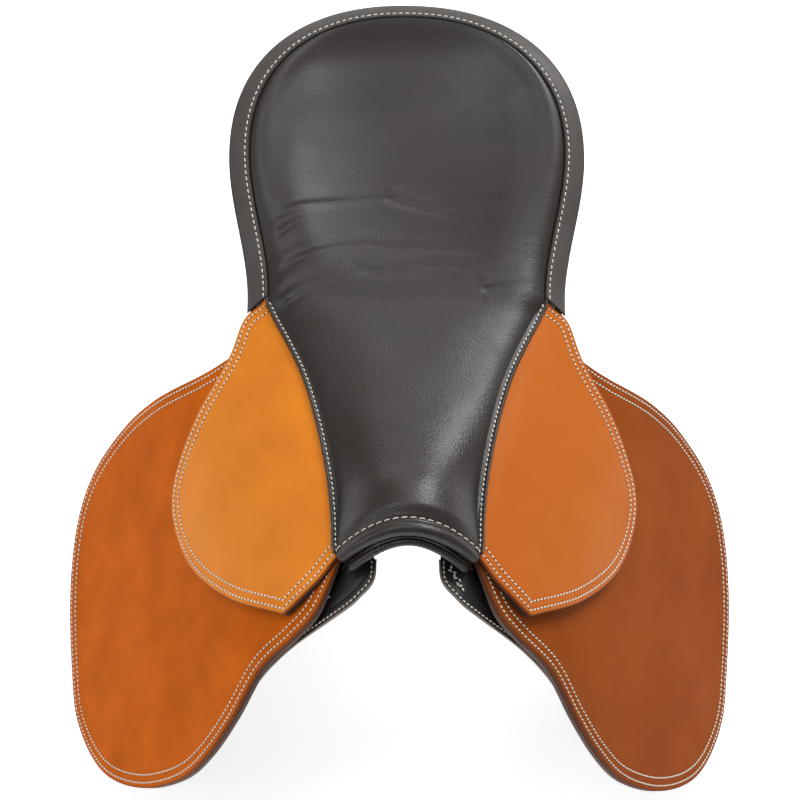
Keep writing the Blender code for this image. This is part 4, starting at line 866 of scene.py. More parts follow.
def stitch_pattern():
    """One stitch, 1 long and 1 in radius: two ends and four rings between, and its faces."""
    turn = np.linspace(0, 2 * math.pi, STITCH_SIDES, endpoint=False)
    rings = [np.stack([along + 0 * turn, swell * np.cos(turn), swell * np.sin(turn) + rise], axis=1)
             for along, swell, rise in zip(STITCH_ALONG, STITCH_SWELL, STITCH_RISE)]
    points = np.vstack([rings[0][:1], *rings[1:-1], rings[-1][:1]])
    index = 1 + np.arange(4 * STITCH_SIDES).reshape(4, STITCH_SIDES)
    quads = grid_quads(np.hstack([index, index[:, :1]]))
    last = len(points) - 1
    fan = np.vstack([np.stack([np.zeros(STITCH_SIDES, int), np.roll(index[0], -1), index[0]], axis=1),
                     np.stack([np.full(STITCH_SIDES, last), index[-1], np.roll(index[-1], -1)], axis=1)])
    return points, quads, fan


def hole_pattern():
    """A needle hole: a low six-sided lens."""
    turn = np.linspace(0, 2 * math.pi, 6, endpoint=False)
    ring = np.stack([np.cos(turn), np.sin(turn), 0 * turn], axis=1)
    points = np.vstack([[[0, 0, 0.12]], ring, [[0, 0, -0.5]]])
    index = np.arange(1, 7)
    fan = np.vstack([np.stack([np.zeros(6, int), index, np.roll(index, -1)], axis=1),
                     np.stack([np.full(6, 7), np.roll(index, -1), index], axis=1)])
    return points, np.zeros((0, 4), int), fan


def repeated(name, shape, scale, places, axes):
    """Copies of a small shape at places, each turned to its own three axes."""
    points, quads, fan = shape
    moved = places[:, None] + np.einsum("pk,nkj->npj", points * scale, axes)
    shift = (np.arange(len(places)) * len(points))[:, None, None]
    return mesh_of_faces(name, moved.reshape(-1, 3), (quads[None] + shift).reshape(-1, 4),
                         (fan[None] + shift).reshape(-1, 3))


def stitch_row(name, path, normals, pitch, thread, body, material="thread", holes=True, slant=0.14, lift=0.0):
    """Stitches evenly along a path on a surface, each turned a little out of line, with a needle hole
    between each two."""
    length = run_lengths(path)
    count = max(1, int(round(length[-1] / pitch)))
    step = length[-1] / count
    centre = (np.arange(count) + 0.5) * step
    normal = unit(read_along(normals, length, centre))
    ahead = read_along(path, length, centre + 0.35 * step)
    along = unit(ahead - read_along(path, length, centre - 0.35 * step))
    across = unit(np.cross(normal, along))
    along = unit(along + slant * across)
    across = unit(np.cross(normal, along))
    axes = np.stack([along, across, normal], axis=1)
    scale = np.array([STITCH_FILL * step, thread, thread * 0.85])
    places = read_along(path, length, centre) + lift * normal
    new_piece(repeated(name, stitch_pattern(), scale, places, axes), MATERIALS[material], body, sharp=80)
    if holes:
        at = np.arange(count + 1) * step
        normal = unit(read_along(normals, length, at))
        ahead = read_along(path, length, at + 0.2 * step)
        along = unit(ahead - read_along(path, length, at - 0.2 * step) + 1e-9)
        axes = np.stack([along, np.cross(normal, along), normal], axis=1)
        places = read_along(path, length, at) + (lift + 0.00003) * normal
        spots = repeated(name + "_needle_holes", hole_pattern(), HOLE_SIZES, places, axes)
        new_piece(spots, MATERIALS["hole"], body, sharp=80)


def leaf_stitches(name, segments, distance, face, side, lift, sizes, body, crescent=None, material="thread"):
    """A row at a distance inside a leaf's edge. Past the fold line it goes on over the sewn strip."""
    runs = []
    for points, start, end, _ in segments:
        run = offset_run(smooth_run(points, 600), distance)
        if start is not FOLD_LINE:
            run = trimmed(run, start)
        if end is not FOLD_LINE:
            run = trimmed(run[::-1], end)[::-1]
        runs.append(run)
    run = softened(even_run(np.vstack(runs), 1600), 12)
    parts = [(body, run[run[:, 1] >= 0])]
    if crescent is not None:
        seam = crescent[np.argsort(crescent[:, 0])]
        inside = (run[:, 1] < 0) & (run[:, 1] > np.interp(run[:, 0], seam[:, 0], seam[:, 1]) + 0.0006)
        inside &= (run[:, 0] > FOLD_START - 0.003) & (run[:, 0] < FOLD_END + 0.0012)
        half = len(run) // 2
        ahead = np.arange(len(run)) > half
        parts += [("saddle", run[inside & ahead]), ("saddle", run[inside & ~ahead])]
    elif segments is SWEAT_SEGMENTS:
        ends = trimmed(trimmed(run, segments[0][1])[::-1], segments[0][2])[::-1]
        parts = [(body, ends)]
    for number, (part_body, part) in enumerate(parts):
        if len(part) < 6:
            continue
        height = face + lift(part) - GROOVE_SEAT
        stitch_row(f"{name}_{number}", on_leaf(part, height, side), leaf_normal(part, side), sizes.leaf_pitch,
                   sizes.thread_radius, part_body, material, lift=GROOVE_SEAT)


# Seat surface

def seat_half_width(y):
    """Half-width of the seat at y: its neck, and the rim inside the border behind that."""
    y = np.asarray(y, float)
    ahead = through(SEAT_WIDTHS, y)[..., 0] + SEAT_HEM
    behind = rim_half_width(y, BORDER_WIDTH + BORDER_GAP)
    return ahead + (behind - ahead) * ease((y + 0.034) / 0.012)


def seat_edge_height(y):
    """Height of the seat's sewn edge at y: 1 mm over the leaves in front and over the rim behind."""
    y = np.asarray(y, float)
    along, down = np.moveaxis(sewn_place(seat_half_width(y), y), -1, 0)
    ahead = FOLD_FRONT[2] + along * ALONG[2] - down * math.sin(FALL_SLOPE[0]) + SEAT_EDGE_RISE
    behind = rim_height(y) + SEAT_EDGE_RISE
    return ahead + (behind - ahead) * ease((y + 0.050) / 0.040)


def foam_floor(x, y):
    """Height of the foam's underside: the tree head's parabola in front, and behind it a dish that rises
    from the middle by the square of the share of the width."""
    head = HEAD_TOP_Z - HEAD_ARCH * x**2 - HEAD_FALL * (y - HEAD_FRONT_Y)
    head = head + 0.0047 * np.sqrt(1 + (2 * HEAD_ARCH * x) ** 2)
    middle, edge = np.moveaxis(through(FOAM_FLOOR, y), -1, 0)
    dish = middle + (edge - middle) * (x / seat_half_width(y)) ** 2
    return np.maximum(head, dish) + (dish - np.maximum(head, dish)) * ease((y - HEAD_REAR_Y - 0.004) / 0.050)


def seat_surface(columns, rows, puff):
    """The padded top. Across it, the height goes from the hollow on the middle line to the roll at the side
    by the share of the width to the power 2.2, and falls to the sewn edge over the last 40 mm, or 45 mm at
    the neck; along it, the front follows the pommel's arch. Returns the points, and the distance from the
    side and front edges."""
    depth = RIM_REAR_Y - BORDER_WIDTH - BORDER_GAP - RIM_WIDEST_Y
    wide = RIM_HALF_WIDTH - BORDER_WIDTH - BORDER_GAP
    corner = seat_half_width(np.array([SEAT_CORNER_Y]))[0]
    side_y = (POMMEL_Y + (SEAT_CORNER_Y - POMMEL_Y) * rows)[:, None]
    sweep = POMMEL_SWEEP * (1 - rows[:, None]) ** 3
    half = seat_half_width(side_y - sweep)
    x = columns[None, :] * half
    arc_x = np.abs(columns)[None, :] * corner / wide
    arc = RIM_WIDEST_Y + depth * (1 - arc_x**RIM_ROUNDNESS) ** (1 / RIM_ROUNDNESS) - SEAT_CORNER_Y
    y = side_y + arc * rows[:, None] ** 5 - sweep * columns**2
    u = np.abs(columns)[None, :] + 0 * y
    edge = seat_edge_height(side_y - sweep) + 0 * y
    hollow = through(SEAT_HOLLOW, y)[..., 0]
    from_side = (1 - u) * half
    from_front = side_y - POMMEL_Y + 0 * y
    flange = SEAT_FLANGE * (1 - ease((side_y + 0.040) / 0.020))
    neck = 1 - ease((side_y + 0.12) / 0.12)
    reach = SEAT_FALL + NECK_FALL * neck
    rise = 1 - (1 - np.clip((from_side - flange) / reach, 0, 1)) ** FALL_POWER
    cushion = hollow + (edge + puff - hollow) * u**BOWL_POWER
    crown = edge + (cushion - edge) * rise
    front = POMMEL_Z - (POMMEL_Z - edge) * u**2
    z = front + (crown - front) * ease((side_y - POMMEL_Y) / 0.05)
    behind_front = ease((from_front - 0.0025) / 0.011) * (1 - ease((from_front - 0.022) / 0.06))
    z = z + FRONT_SWELL * behind_front * rise
    last = seat_edge_height(y)
    from_rear = (1 - rows[:, None]) * (SEAT_CORNER_Y - POMMEL_Y) + 0 * y
    z = last + (z - last) * (1 - (1 - np.clip(from_rear / REAR_FALL, 0, 1)) ** FALL_POWER)
    return np.stack([x, y, z], axis=2), from_side, from_front


def seat_columns(count):
    """Places across the seat, closer together at its sides: 0.6 t + 0.4 sin(t pi / 2)."""
    t = np.linspace(-1, 1, count)
    return 0.6 * t + 0.4 * np.sin(t * math.pi / 2)


def spread(knots, counts):
    """Rows by stretches: even inside each stretch, with its own count."""
    runs = [np.linspace(a, b, n, endpoint=False) for a, b, n in zip(knots, knots[1:], counts)]
    return np.concatenate(runs + [[knots[-1]]])


def run_distance(points, run):
    """Distance in plan from each point to a run of straight pieces, signed by side, and the share along."""
    best = np.full(points.shape[:-1], 9.0)
    signed = best.copy()
    share = 0 * best
    total = len(run) - 1
    for i, (a, b) in enumerate(zip(run, run[1:])):
        step = b - a
        t = np.clip(((points - a) @ step) / (step @ step), 0, 1)
        off = points - a - t[..., None] * step
        gap = np.linalg.norm(off, axis=-1)
        near = gap < best
        best = np.where(near, gap, best)
        signed = np.where(near, gap * np.sign(step[0] * off[..., 1] - step[1] * off[..., 0]), signed)
        share = np.where(near, (i + t) / total, share)
    return signed, share


# Across a crease: a height as a share of its depth, its place and its width
CREASE_FORM = ((0.75, 0.0060, 0.0054), (-1.0, 0.0, 0.0032), (0.3, -0.0075, 0.0062))


def crease_depth(points, depth):
    """Each crease is a shallow valley with a fuller fold behind it, deepest at the rider's left and fading to
    both its ends."""
    height = 0 * points[..., 0]
    for run in SEAT_CREASES:
        signed, share = run_distance(points[..., :2], smooth_run(run, 24))
        fade = ease(share / 0.12) * (1 - share) ** 1.2
        height += depth * fade * sum(part * bell(signed - at, width) for part, at, width in CREASE_FORM)
    return height


# Simulation

CLOTH_FRAMES = 20
CLOTH_PRESSURE = 4.0
# How far Cloth may move the seat and the panels
SEAT_SWELL = 0.0035
PANEL_SWELL = 0.0040


def blown_up(name, mesh, pinned, cap):
    """The mesh's points after Cloth has filled it with air for 20 frames, with gravity off: pinned points
    stay, and no point moves further than the cap."""
    start = mesh_points(mesh)
    scene = bpy.context.scene
    obj = placed(name, mesh)
    group = obj.vertex_groups.new(name="sewn")
    group.add(np.nonzero(pinned)[0].tolist(), 1.0, "REPLACE")
    cloth = obj.modifiers.new("air", "CLOTH")
    cloth.settings.use_pressure = True
    cloth.settings.uniform_pressure_force = CLOTH_PRESSURE
    cloth.settings.vertex_group_mass = "sewn"
    cloth.settings.quality = 6
    cloth.settings.effector_weights.gravity = 0.0
    cloth.collision_settings.use_collision = False
    cloth.point_cache.frame_start = 1
    cloth.point_cache.frame_end = CLOTH_FRAMES
    for number in range(1, CLOTH_FRAMES + 1):
        scene.frame_set(number)
        graph = bpy.context.evaluated_depsgraph_get()
        done = obj.evaluated_get(graph).to_mesh()
    move = mesh_points(done) - start
    scene.frame_set(1)
    bpy.data.objects.remove(obj)
    reach = np.linalg.norm(move, axis=1, keepdims=True)
    return start + move * np.minimum(1.0, cap / np.maximum(reach, 1e-9))


def settled(swell, weight, passes=10):
    """A swell evened out, each point taking half the mean of its four neighbours at each pass, then faded
    by a weight."""
    for _ in range(passes):
        ring = np.pad(swell, ((1, 1), (1, 1), (0, 0)), mode="edge")
        near = ring[:-2, 1:-1] + ring[2:, 1:-1] + ring[1:-1, :-2] + ring[1:-1, 2:]
        swell = (near + 4 * swell) / 8
    return swell * weight[..., None]


def resampled(values, rows, columns, new_rows, new_columns):
    """A grid of values read at other rows and columns, straight between its own."""
    i = np.clip(np.searchsorted(rows, new_rows, side="right") - 1, 0, len(rows) - 2)
    t = ((new_rows - rows[i]) / (rows[i + 1] - rows[i]))[:, None, None]
    across = values[i] * (1 - t) + values[i + 1] * t
    j = np.clip(np.searchsorted(columns, new_columns, side="right") - 1, 0, len(columns) - 2)
    s = ((new_columns - columns[j]) / (columns[j + 1] - columns[j]))[None, :, None]
    return across[:, j] * (1 - s) + across[:, j + 1] * s


# Settings

def length_setting(name, description, default):
    return bpy.props.FloatProperty(name=name, description=description, default=default, min=0.0,
                                   unit="LENGTH")


def power_setting(name, description, default):
    return bpy.props.FloatProperty(name=name, description=description, default=default, min=0.0,
                                   unit="POWER")


class SaddleLooks(bpy.types.PropertyGroup):
    """Colours of the leathers and the thread, as sRGB hex codes."""
    seat: bpy.props.StringProperty(name="Seat", description="Seat hide", default="#2E2825")
    # The border's grey is partly its own and partly painted light for its dimly lit right side
    border: bpy.props.StringProperty(name="Border", description="Cantle border hide", default="#524E4C")
    black: bpy.props.StringProperty(name="Black", description="Panels and sweat flaps", default="#262322")
    skirt: bpy.props.StringProperty(name="Skirt", description="Left skirt hide", default="#EF8D26")
    # The right skirt's and right flap's darker tones are partly their own and partly painted shade for the
    # side that turns away from the light
    skirt_right: bpy.props.StringProperty(name="Right skirt", description="Right skirt hide",
                                          default="#C66A20")
    flap: bpy.props.StringProperty(name="Flap", description="Left flap hide", default="#D6670C")
    flap_right: bpy.props.StringProperty(name="Right flap", description="Right flap hide", default="#9C4B12")
    lining: bpy.props.StringProperty(name="Lining", description="Flesh-side lining", default="#3A231B")
    thread: bpy.props.StringProperty(name="Thread", description="Linen thread", default="#FBF4E2")


class SaddleSizes(bpy.types.PropertyGroup):
    """Sizes of the stitching and of the soft forms."""
    leaf_pitch: length_setting("Leaf stitch pitch", "From stitch to stitch on skirts and flaps", 0.0038)
    seat_pitch: length_setting("Seat stitch pitch", "From stitch to stitch along the seat's sides", 0.0042)
    border_pitch: length_setting("Border stitch pitch", "From stitch to stitch on the cantle border", 0.0050)
    pommel_pitch: length_setting("Pommel stitch pitch", "From stitch to stitch on the pommel's arc", 0.0064)
    thread_radius: length_setting("Thread radius", "Half the thread's thickness", 0.00063)
    outer_row: length_setting("Outer row", "First stitch row from the leaf's edge", 0.0040)
    inner_row: length_setting("Inner row", "Second stitch row from the leaf's edge", 0.0100)
    seat_puff: length_setting("Seat fullness", "How far the seat's roll stands over its sewn edge", 0.0130)
    crease: length_setting("Crease depth", "Depth of the creases across the seat", 0.0011)


class SaddleStage(bpy.types.PropertyGroup):
    """Lights of the studio."""
    overhead: power_setting("Overhead", "Wide soft box above", 9.0)
    left: power_setting("Left", "Soft box at the left", 6.0)
    right_rear: power_setting("Right rear", "Soft box behind at the right", 28.0)
    rear_top: power_setting("Rear top", "Wide soft box high behind the saddle", 5.0)
    top: power_setting("Top", "Soft box above the seat's right", 2.7)
    high_right: power_setting("High right", "Small soft box high at the right", 8.5)
    backdrop: power_setting("Backdrop", "White wall behind the saddle", 7.0)
    sky: bpy.props.FloatProperty(name="Sky", description="Strength of the white surround", default=0.26,
                                 min=0.0, max=1.0, subtype="FACTOR")
    table: bpy.props.FloatProperty(name="Table", description="Glow of the lit table", default=0.72,
                                   min=0.0, max=1.0, subtype="FACTOR")


# Operators

class SADDLE_OT_finishes(bpy.types.Operator):
    """Makes every leather, thread, wood and metal, and finishes the hardware that keeps its solid"""
    bl_idname = "saddle.finishes"
    bl_label = "Finishes"

    def execute(self, context):
        make_materials(context.scene.saddle_looks)
        wanted = {"tree": "beech", "head_plate": "plate", "gullet_plate": "plate", "tree_spring": "spring",
                  "stirrup_bar": "forged", "bar_catch": "forged", "catch_pin": "forged", "bar_rivet": "plate"}
        for name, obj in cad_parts.items():
            keys = [key for key in wanted if name == key or name.startswith(key + "_")]
            if keys:
                obj.data.materials.clear()
                obj.data.materials.append(MATERIALS[wanted[max(keys, key=len)]])
        return {"FINISHED"}


class SADDLE_OT_leaves(bpy.types.Operator):
    """Cuts the skirts and flaps, bends them over the leaf form and stitches their edges"""
    bl_idname = "saddle.leaves"
    bl_label = "Skirts and flaps"

    def execute(self, context):
        sizes = context.scene.saddle_sizes
        dressed_leaf(sizes, "skirt", SKIRT_SEGMENTS, (), (22, 14), 0.0, SKIRT_THICKNESS, skirt_lift,
                     SKIRT_SEAM, "lining", SKIRT_HEM_AND_SHADE_LINE, crescent_grid(SKIRT_SEAM)[0])
        dressed_leaf(sizes, "flap", FLAP_SEGMENTS, FLAP_TOP_PATH, (30, 18), FLAP_TOP, FLAP_THICKNESS,
                     flap_wave, FLAP_SEAM, "hem", FLAP_HEM)
        return {"FINISHED"}


def dressed_leaf(sizes, leaf, segments, top_path, blend_rows, face, thickness, lift, seam, lining_hide, hem,
                 sewn_seam=None):
    """A leaf on both sides: its leather, its lining, the strip that is sewn under the seat and its two rows
    of stitches, which go on over the strip where its seam is given."""
    profile = stitched_profile(sizes.outer_row, sizes.inner_row)
    leather = sheet_grids(segments, top_path, profile, blend_rows[0])
    lining = sheet_grids(segments, top_path, ROUND_EDGE[:3] + ((0.006, 0.0),), blend_rows[1])
    low = face - thickness - EDGE_GAP
    for word, side in SIDES:
        body = f"{leaf}_{word}"
        leaf_piece(f"{leaf}_leather_{word}", leather, face, thickness, side, lift, MATERIALS[body], body,
                   [body])
        leaf_piece(f"{leaf}_lining_sheet_{word}", lining, low, LINING_THICKNESS, side, lift,
                   MATERIALS[lining_hide], body, [f"{leaf}_lining_{word}"], hem)
        crescent_piece(f"{leaf}_sewn_strip_{word}", seam, face, low - LINING_THICKNESS, side,
                       MATERIALS[body], [f"{leaf}_sewn_edge_{word}"])
        for row, distance in (("outer", sizes.outer_row), ("inner", sizes.inner_row)):
            leaf_stitches(f"{leaf}_{row}_stitches_{word}", segments, distance, face, side, lift, sizes, body,
                          sewn_seam)


class SADDLE_OT_sweat_flaps(bpy.types.Operator):
    """Makes the black sweat flaps under the flaps, with their two stitch rows"""
    bl_idname = "saddle.sweat_flaps"
    bl_label = "Sweat flaps"

    def execute(self, context):
        sizes = context.scene.saddle_sizes
        profile = stitched_profile(*(distance for _, distance in SWEAT_ROWS))
        grids = sheet_grids(SWEAT_SEGMENTS, SWEAT_TOP_PATH, profile, 20)
        for word, side in SIDES:
            leaf_piece(f"sweat_flap_leather_{word}", grids, SWEAT_TOP_FACE, SWEAT_THICKNESS, side, no_lift,
                       MATERIALS["sweat"], "saddle", [f"sweat_flap_{word}"])
            for row, distance in SWEAT_ROWS:
                leaf_stitches(f"sweat_flap_{row}_stitches_{word}", SWEAT_SEGMENTS, distance, SWEAT_TOP_FACE,
                              side, no_lift, sizes, "saddle", material="white_thread")
            tack = even_run(SWEAT_TACKS[word], 200)
            stitch_row(f"sweat_flap_tack_{word}", on_leaf(tack, SWEAT_TOP_FACE, side),
                       leaf_normal(tack, side), TACK_PITCH, TACK_THREAD, "saddle", "white_thread",
                       holes=False, slant=0.5, lift=GROOVE_SEAT)
        return {"FINISHED"}


class SADDLE_OT_seat(bpy.types.Operator):
    """Makes the padded seat: blown up a little by Cloth, then creased and sewn along its sides and front"""
    bl_idname = "saddle.seat"
    bl_label = "Seat"

    def execute(self, context):
        sizes = context.scene.saddle_sizes
        coarse_rows = spread((0.0, 0.04, 0.97, 1.0), (5, 80, 4))
        coarse_columns = seat_columns(49)
        start, from_side, from_front = seat_surface(coarse_columns, coarse_rows, sizes.seat_puff)
        under = start - [0, 0, 0.010]
        pinned = np.ones(start.shape[:2], bool)
        pinned[3:-3, 3:-3] = (from_side[3:-3, 3:-3] < 0.0055) | (from_front[3:-3, 3:-3] < 0.006)
        mesh = block_mesh("seat_bag", start, under)
        turned_out(mesh)
        pins = np.concatenate([pinned.ravel(), np.ones(pinned.size, bool)])
        filled = blown_up("seat_bag", mesh, pins, SEAT_SWELL)[:pinned.size].reshape(start.shape)
        from_rear = (1 - coarse_rows[:, None]) * (SEAT_CORNER_Y - POMMEL_Y)
        weight = ease(from_side / 0.040) * ease(from_front / 0.045) * ease(from_rear / 0.045)
        swell = settled(filled - start, weight)

        rows = spread((0.0, 0.05, 0.44, 0.83, 0.97, 1.0), (28, 62, 180, 40, 16))
        columns = seat_columns(141)
        top, from_side, from_front = seat_surface(columns, rows, sizes.seat_puff)
        top = top + resampled(swell, coarse_rows, coarse_columns, rows, columns)
        top[..., 2] += crease_depth(top, sizes.crease)
        ahead = 1 - ease((top[..., 1] + 0.040) / 0.020)
        top[..., 2] -= 0.0006 * ahead * bell(from_side - SIDE_ROW, 0.0010)
        top[..., 2] -= 0.0009 * bell(from_front - FRONT_ROW, 0.0015)

        # The front edge turns down over the roll in a quarter circle
        turn = np.linspace(math.pi / 2, 0, 7, endpoint=False)[:, None]
        x, y, z = np.moveaxis(top[:1], -1, 0)
        nose = np.stack([x + 0 * turn, y - SEAT_NOSE * np.sin(turn), z - SEAT_NOSE * (1 - np.cos(turn))],
                        axis=2)
        top = np.vstack([nose, top])
        share = abs(columns)[None, :] + 0 * top[..., 0]
        bottom = top - [0, 0, COVER_THICKNESS]
        floor = np.minimum(foam_floor(top[..., 0], top[..., 1]), bottom[..., 2])
        inside = (1 - ease((share - 0.88) / 0.05)) * ease((top[..., 1] + 0.224) / 0.010)
        inside *= 1 - ease((top[..., 1] - 0.188) / 0.006)
        bottom[..., 2] += (floor - bottom[..., 2]) * inside
        mesh = block_mesh("padded_seat", top, bottom)
        seat = new_piece(mesh, MATERIALS["seat"], "saddle", ["seat_cover", "seat_foam"], 60)
        mesh.materials.append(MATERIALS["foam"])
        cells = (top.shape[0] - 1) * (top.shape[1] - 1)
        slots = np.zeros(len(mesh.polygons), np.int32)
        slots[cells:2 * cells] = 1
        mesh.polygons.foreach_set("material_index", slots)

        skin = top[len(nose):]
        normal = unit(np.cross(np.gradient(skin, axis=0), np.gradient(skin, axis=1)))
        normal *= np.sign(normal[..., 2:])
        self.side_rows(sizes, skin, normal, rows, columns)
        self.front_row(sizes, skin, normal, rows, columns)
        return {"FINISHED"}

    def side_rows(self, sizes, skin, normal, rows, columns):
        """A row just inside each side seam, from the pommel's corner to the waist."""
        y = POMMEL_Y + (SEAT_CORNER_Y - POMMEL_Y) * rows
        keep = y < SIDE_ROW_END_Y
        share = 1 - SIDE_ROW / seat_half_width(y[keep] - POMMEL_SWEEP * (1 - rows[keep]) ** 3)
        for word, side in SIDES:
            path = read_rows(skin[keep], columns, side * share)
            normals = read_rows(normal[keep], columns, side * share)
            stitch_row(f"seat_side_stitches_{word}", path, normals, sizes.seat_pitch, sizes.thread_radius,
                       "saddle", "white_thread", lift=0.0002)

    def front_row(self, sizes, skin, normal, rows, columns):
        """The arc of long stitches just behind the pommel's edge."""
        at = FRONT_ROW / (SEAT_CORNER_Y - POMMEL_Y)
        line = columns[abs(columns) < 0.985]
        path = resampled(skin, rows, columns, np.array([at]), line)[0]
        normals = resampled(normal, rows, columns, np.array([at]), line)[0]
        stitch_row("pommel_arc_stitches", path, normals, sizes.pommel_pitch, POMMEL_THREAD, "saddle",
                   "white_thread", slant=0.10, lift=0.0003)


def read_rows(grid, columns, at):
    """One point in each row of a grid, at its own place across."""
    j = np.clip(np.searchsorted(columns, at, side="right") - 1, 0, len(columns) - 2)
    t = ((at - columns[j]) / (columns[j + 1] - columns[j]))[:, None]
    rows = np.arange(len(grid))
    return grid[rows, j] * (1 - t) + grid[rows, j + 1] * t


class SADDLE_OT_cantle(bpy.types.Operator):
    """Makes the border that binds the cantle, its stitches and the facing below it"""
    bl_idname = "saddle.cantle"
    bl_label = "Cantle"

    def execute(self, context):
        sizes = context.scene.saddle_sizes
        share = np.array([0.0, 0.02, 0.06, 0.14, 0.26, 0.40, 0.55, 0.68, 0.76, BORDER_SEAM, 0.84, 0.90, 0.95,
                          0.98, 1.0])
        edge = np.minimum(share, 1 - share) * BORDER_WIDTH
        rounded = 0.0011 * (1 - ease(edge / 0.0015)) ** 1.5
        seam = 0.0004 * bell((share - BORDER_SEAM) * BORDER_WIDTH, 0.0007)
        top, bottom = [], []
        for s, drop in zip(share, rounded + seam):
            run = rim_run(BORDER_WIDTH * s)
            tilt = border_tilt(run[:, 1])
            lift = -tilt + (0.002 + tilt) * s + 0.0016 * (0.25 - (s - 0.5) ** 2) * 2
            run[:, 2] += lift
            top.append(run - [0, 0, drop])
            bottom.append(run - [0, 0, BORDER_THICKNESS - min(drop, 0.0008)])
        mesh = block_mesh("cantle_border_hide", np.array(top), np.array(bottom))
        write_edge(mesh, np.tile(np.repeat(edge, len(top[0])), 2))
        new_piece(mesh, MATERIALS["border"], "saddle", ["cantle_border"])

        at = int(np.argmin(abs(share - BORDER_SEAM)))
        across = top[at + 3] - top[at - 5]
        normals = unit(np.cross(np.gradient(top[at], axis=0), across))
        normals *= np.sign(normals[:, 2:])
        stitch_row("border_stitches", top[at], normals, sizes.border_pitch, BORDER_THREAD, "saddle",
                   "white_thread", slant=0.10, lift=0.0002)

        share = np.linspace(0, 1, 16)
        outer, inner = [], []
        for s in share:
            run = rim_run(CANTLE_INSET + CANTLE_LEAN * s)
            high = run[:, 2] - border_tilt(run[:, 1]) - BORDER_THICKNESS - 0.0009
            foot = through(FACING_FOOT, run[:, 1])[:, 0]
            run[:, 2] = high + (foot - high) * s
            outward = unit(run[:, :2] - [0.0, 0.05])
            run[:, :2] += CANTLE_BULGE * math.sin(math.pi * s) * outward
            wall = run.copy()
            wall[:, :2] -= CANTLE_THICKNESS * outward
            outer.append(run)
            inner.append(wall)
        mesh = block_mesh("cantle_facing_hide", np.array(outer), np.array(inner))
        write_edge(mesh)
        new_piece(mesh, MATERIALS["black"], "saddle", ["cantle_facing"])
        return {"FINISHED"}


def arch_frame(half_width, back, drop, steps):
    """The pommel's arch, square inwards from the seat's front edge by a drop and ahead of it, with the
    forward and outward directions at each point. Its height falls by the square of the half-width."""
    x = np.linspace(-half_width, half_width, steps)
    bend = POMMEL_DROP / POMMEL_HALF_WIDTH**2
    slope = -2 * bend * x
    length = np.sqrt(1 + slope**2)
    z = POMMEL_Z - bend * x**2 - drop / length
    y = POMMEL_Y - POMMEL_SWEEP * (x / POMMEL_HALF_WIDTH) ** 2 - back
    path = np.stack([x + drop * slope / length, y, z], axis=1)
    outward = np.stack([-slope / length, 0 * x, 1 / length], axis=1)
    forward = unit(np.cross(np.gradient(path, axis=0), outward))
    forward *= np.sign(-forward[:, 1:2])
    return path, forward, outward


class SADDLE_OT_pommel(bpy.types.Operator):
    """Makes the padded roll over the pommel's arch, the piping under it and the facing below"""
    bl_idname = "saddle.pommel"
    bl_label = "Pommel"

    def execute(self, context):
        steps = 161
        path, forward, outward = arch_frame(ARCH_HALF_WIDTH, ROLL_RADIUS, ROLL_DROP, steps)
        t = np.linspace(-1, 1, steps)
        taper = (1 - 0.25 * t**2) * (1 - 0.75 * ease((abs(t) - 0.965) / 0.035))
        pucker = 1 + 0.016 * np.sin(46 * t + 1.3 * np.sin(11 * t)) * (0.4 + 0.6 * t**2)
        rings = tube_rings(path, forward, outward, ROLL_RADIUS * taper * pucker, 1.03 * ROLL_RADIUS * taper,
                           28, 2.2)
        new_piece(tube_mesh("pommel_roll_padded", rings), MATERIALS["seat"], "saddle", ["pommel_roll"],
                  70)
        path, forward, outward = arch_frame(ARCH_HALF_WIDTH, PIPING_BACK, PIPING_DROP, steps)
        taper = 1 - 0.55 * ease((abs(t) - 0.95) / 0.05)
        gather = taper * (1 + 0.05 * np.sin(95 * t + 2.1 * np.sin(17 * t)) * (0.6 + 0.4 * np.sin(7 * t)))
        rings = tube_rings(path, forward, outward, PIPING_RADIUS * gather, PIPING_RADIUS * gather, 20)
        new_piece(tube_mesh("pommel_piping_cord", rings), MATERIALS["seat"], "saddle", ["pommel_piping"],
                  70)
        self.facing()
        return {"FINISHED"}

    def facing(self):
        """The facing lines the arch under the piping and turns up over its front edge in a rounded lip."""
        below = TREE_THICKNESS + FACING_GAP
        x = np.linspace(-FACING_HALF_WIDTH, FACING_HALF_WIDTH, 121)
        back = np.concatenate([[-0.0146, -0.0142, -0.0132, -0.0117], np.linspace(-0.0097, 0.0215, 18)])
        lip = FACING_LIP * (1 - ease((back - back[0]) / 0.0052))
        sweep = POMMEL_SWEEP * (1 - ease((back[:, None] + 0.010) / 0.0185))
        y = HEAD_FRONT_Y + back[:, None] - sweep * (x / POMMEL_HALF_WIDTH) ** 2
        slope = np.sqrt(1 + (2 * HEAD_ARCH * x) ** 2)
        z = HEAD_TOP_Z - HEAD_ARCH * x**2 - HEAD_FALL * (y - HEAD_FRONT_Y) - below * slope + lip[:, None]
        top = np.stack([x + 0 * y, y, z], axis=2)
        normal = unit(np.cross(np.gradient(top, axis=0), np.gradient(top, axis=1)))
        normal *= np.sign(normal[..., 2:])
        edge = np.minimum(1.0, (np.arange(len(back)) + 1.5) / 4)[:, None, None]
        mesh = block_mesh("pommel_facing_hide", top - 0.0006 * (1 - edge) * normal,
                          top - FACING_THICKNESS * edge * normal)
        write_edge(mesh)
        new_piece(mesh, MATERIALS["seat"], "saddle", ["pommel_facing"], 60)


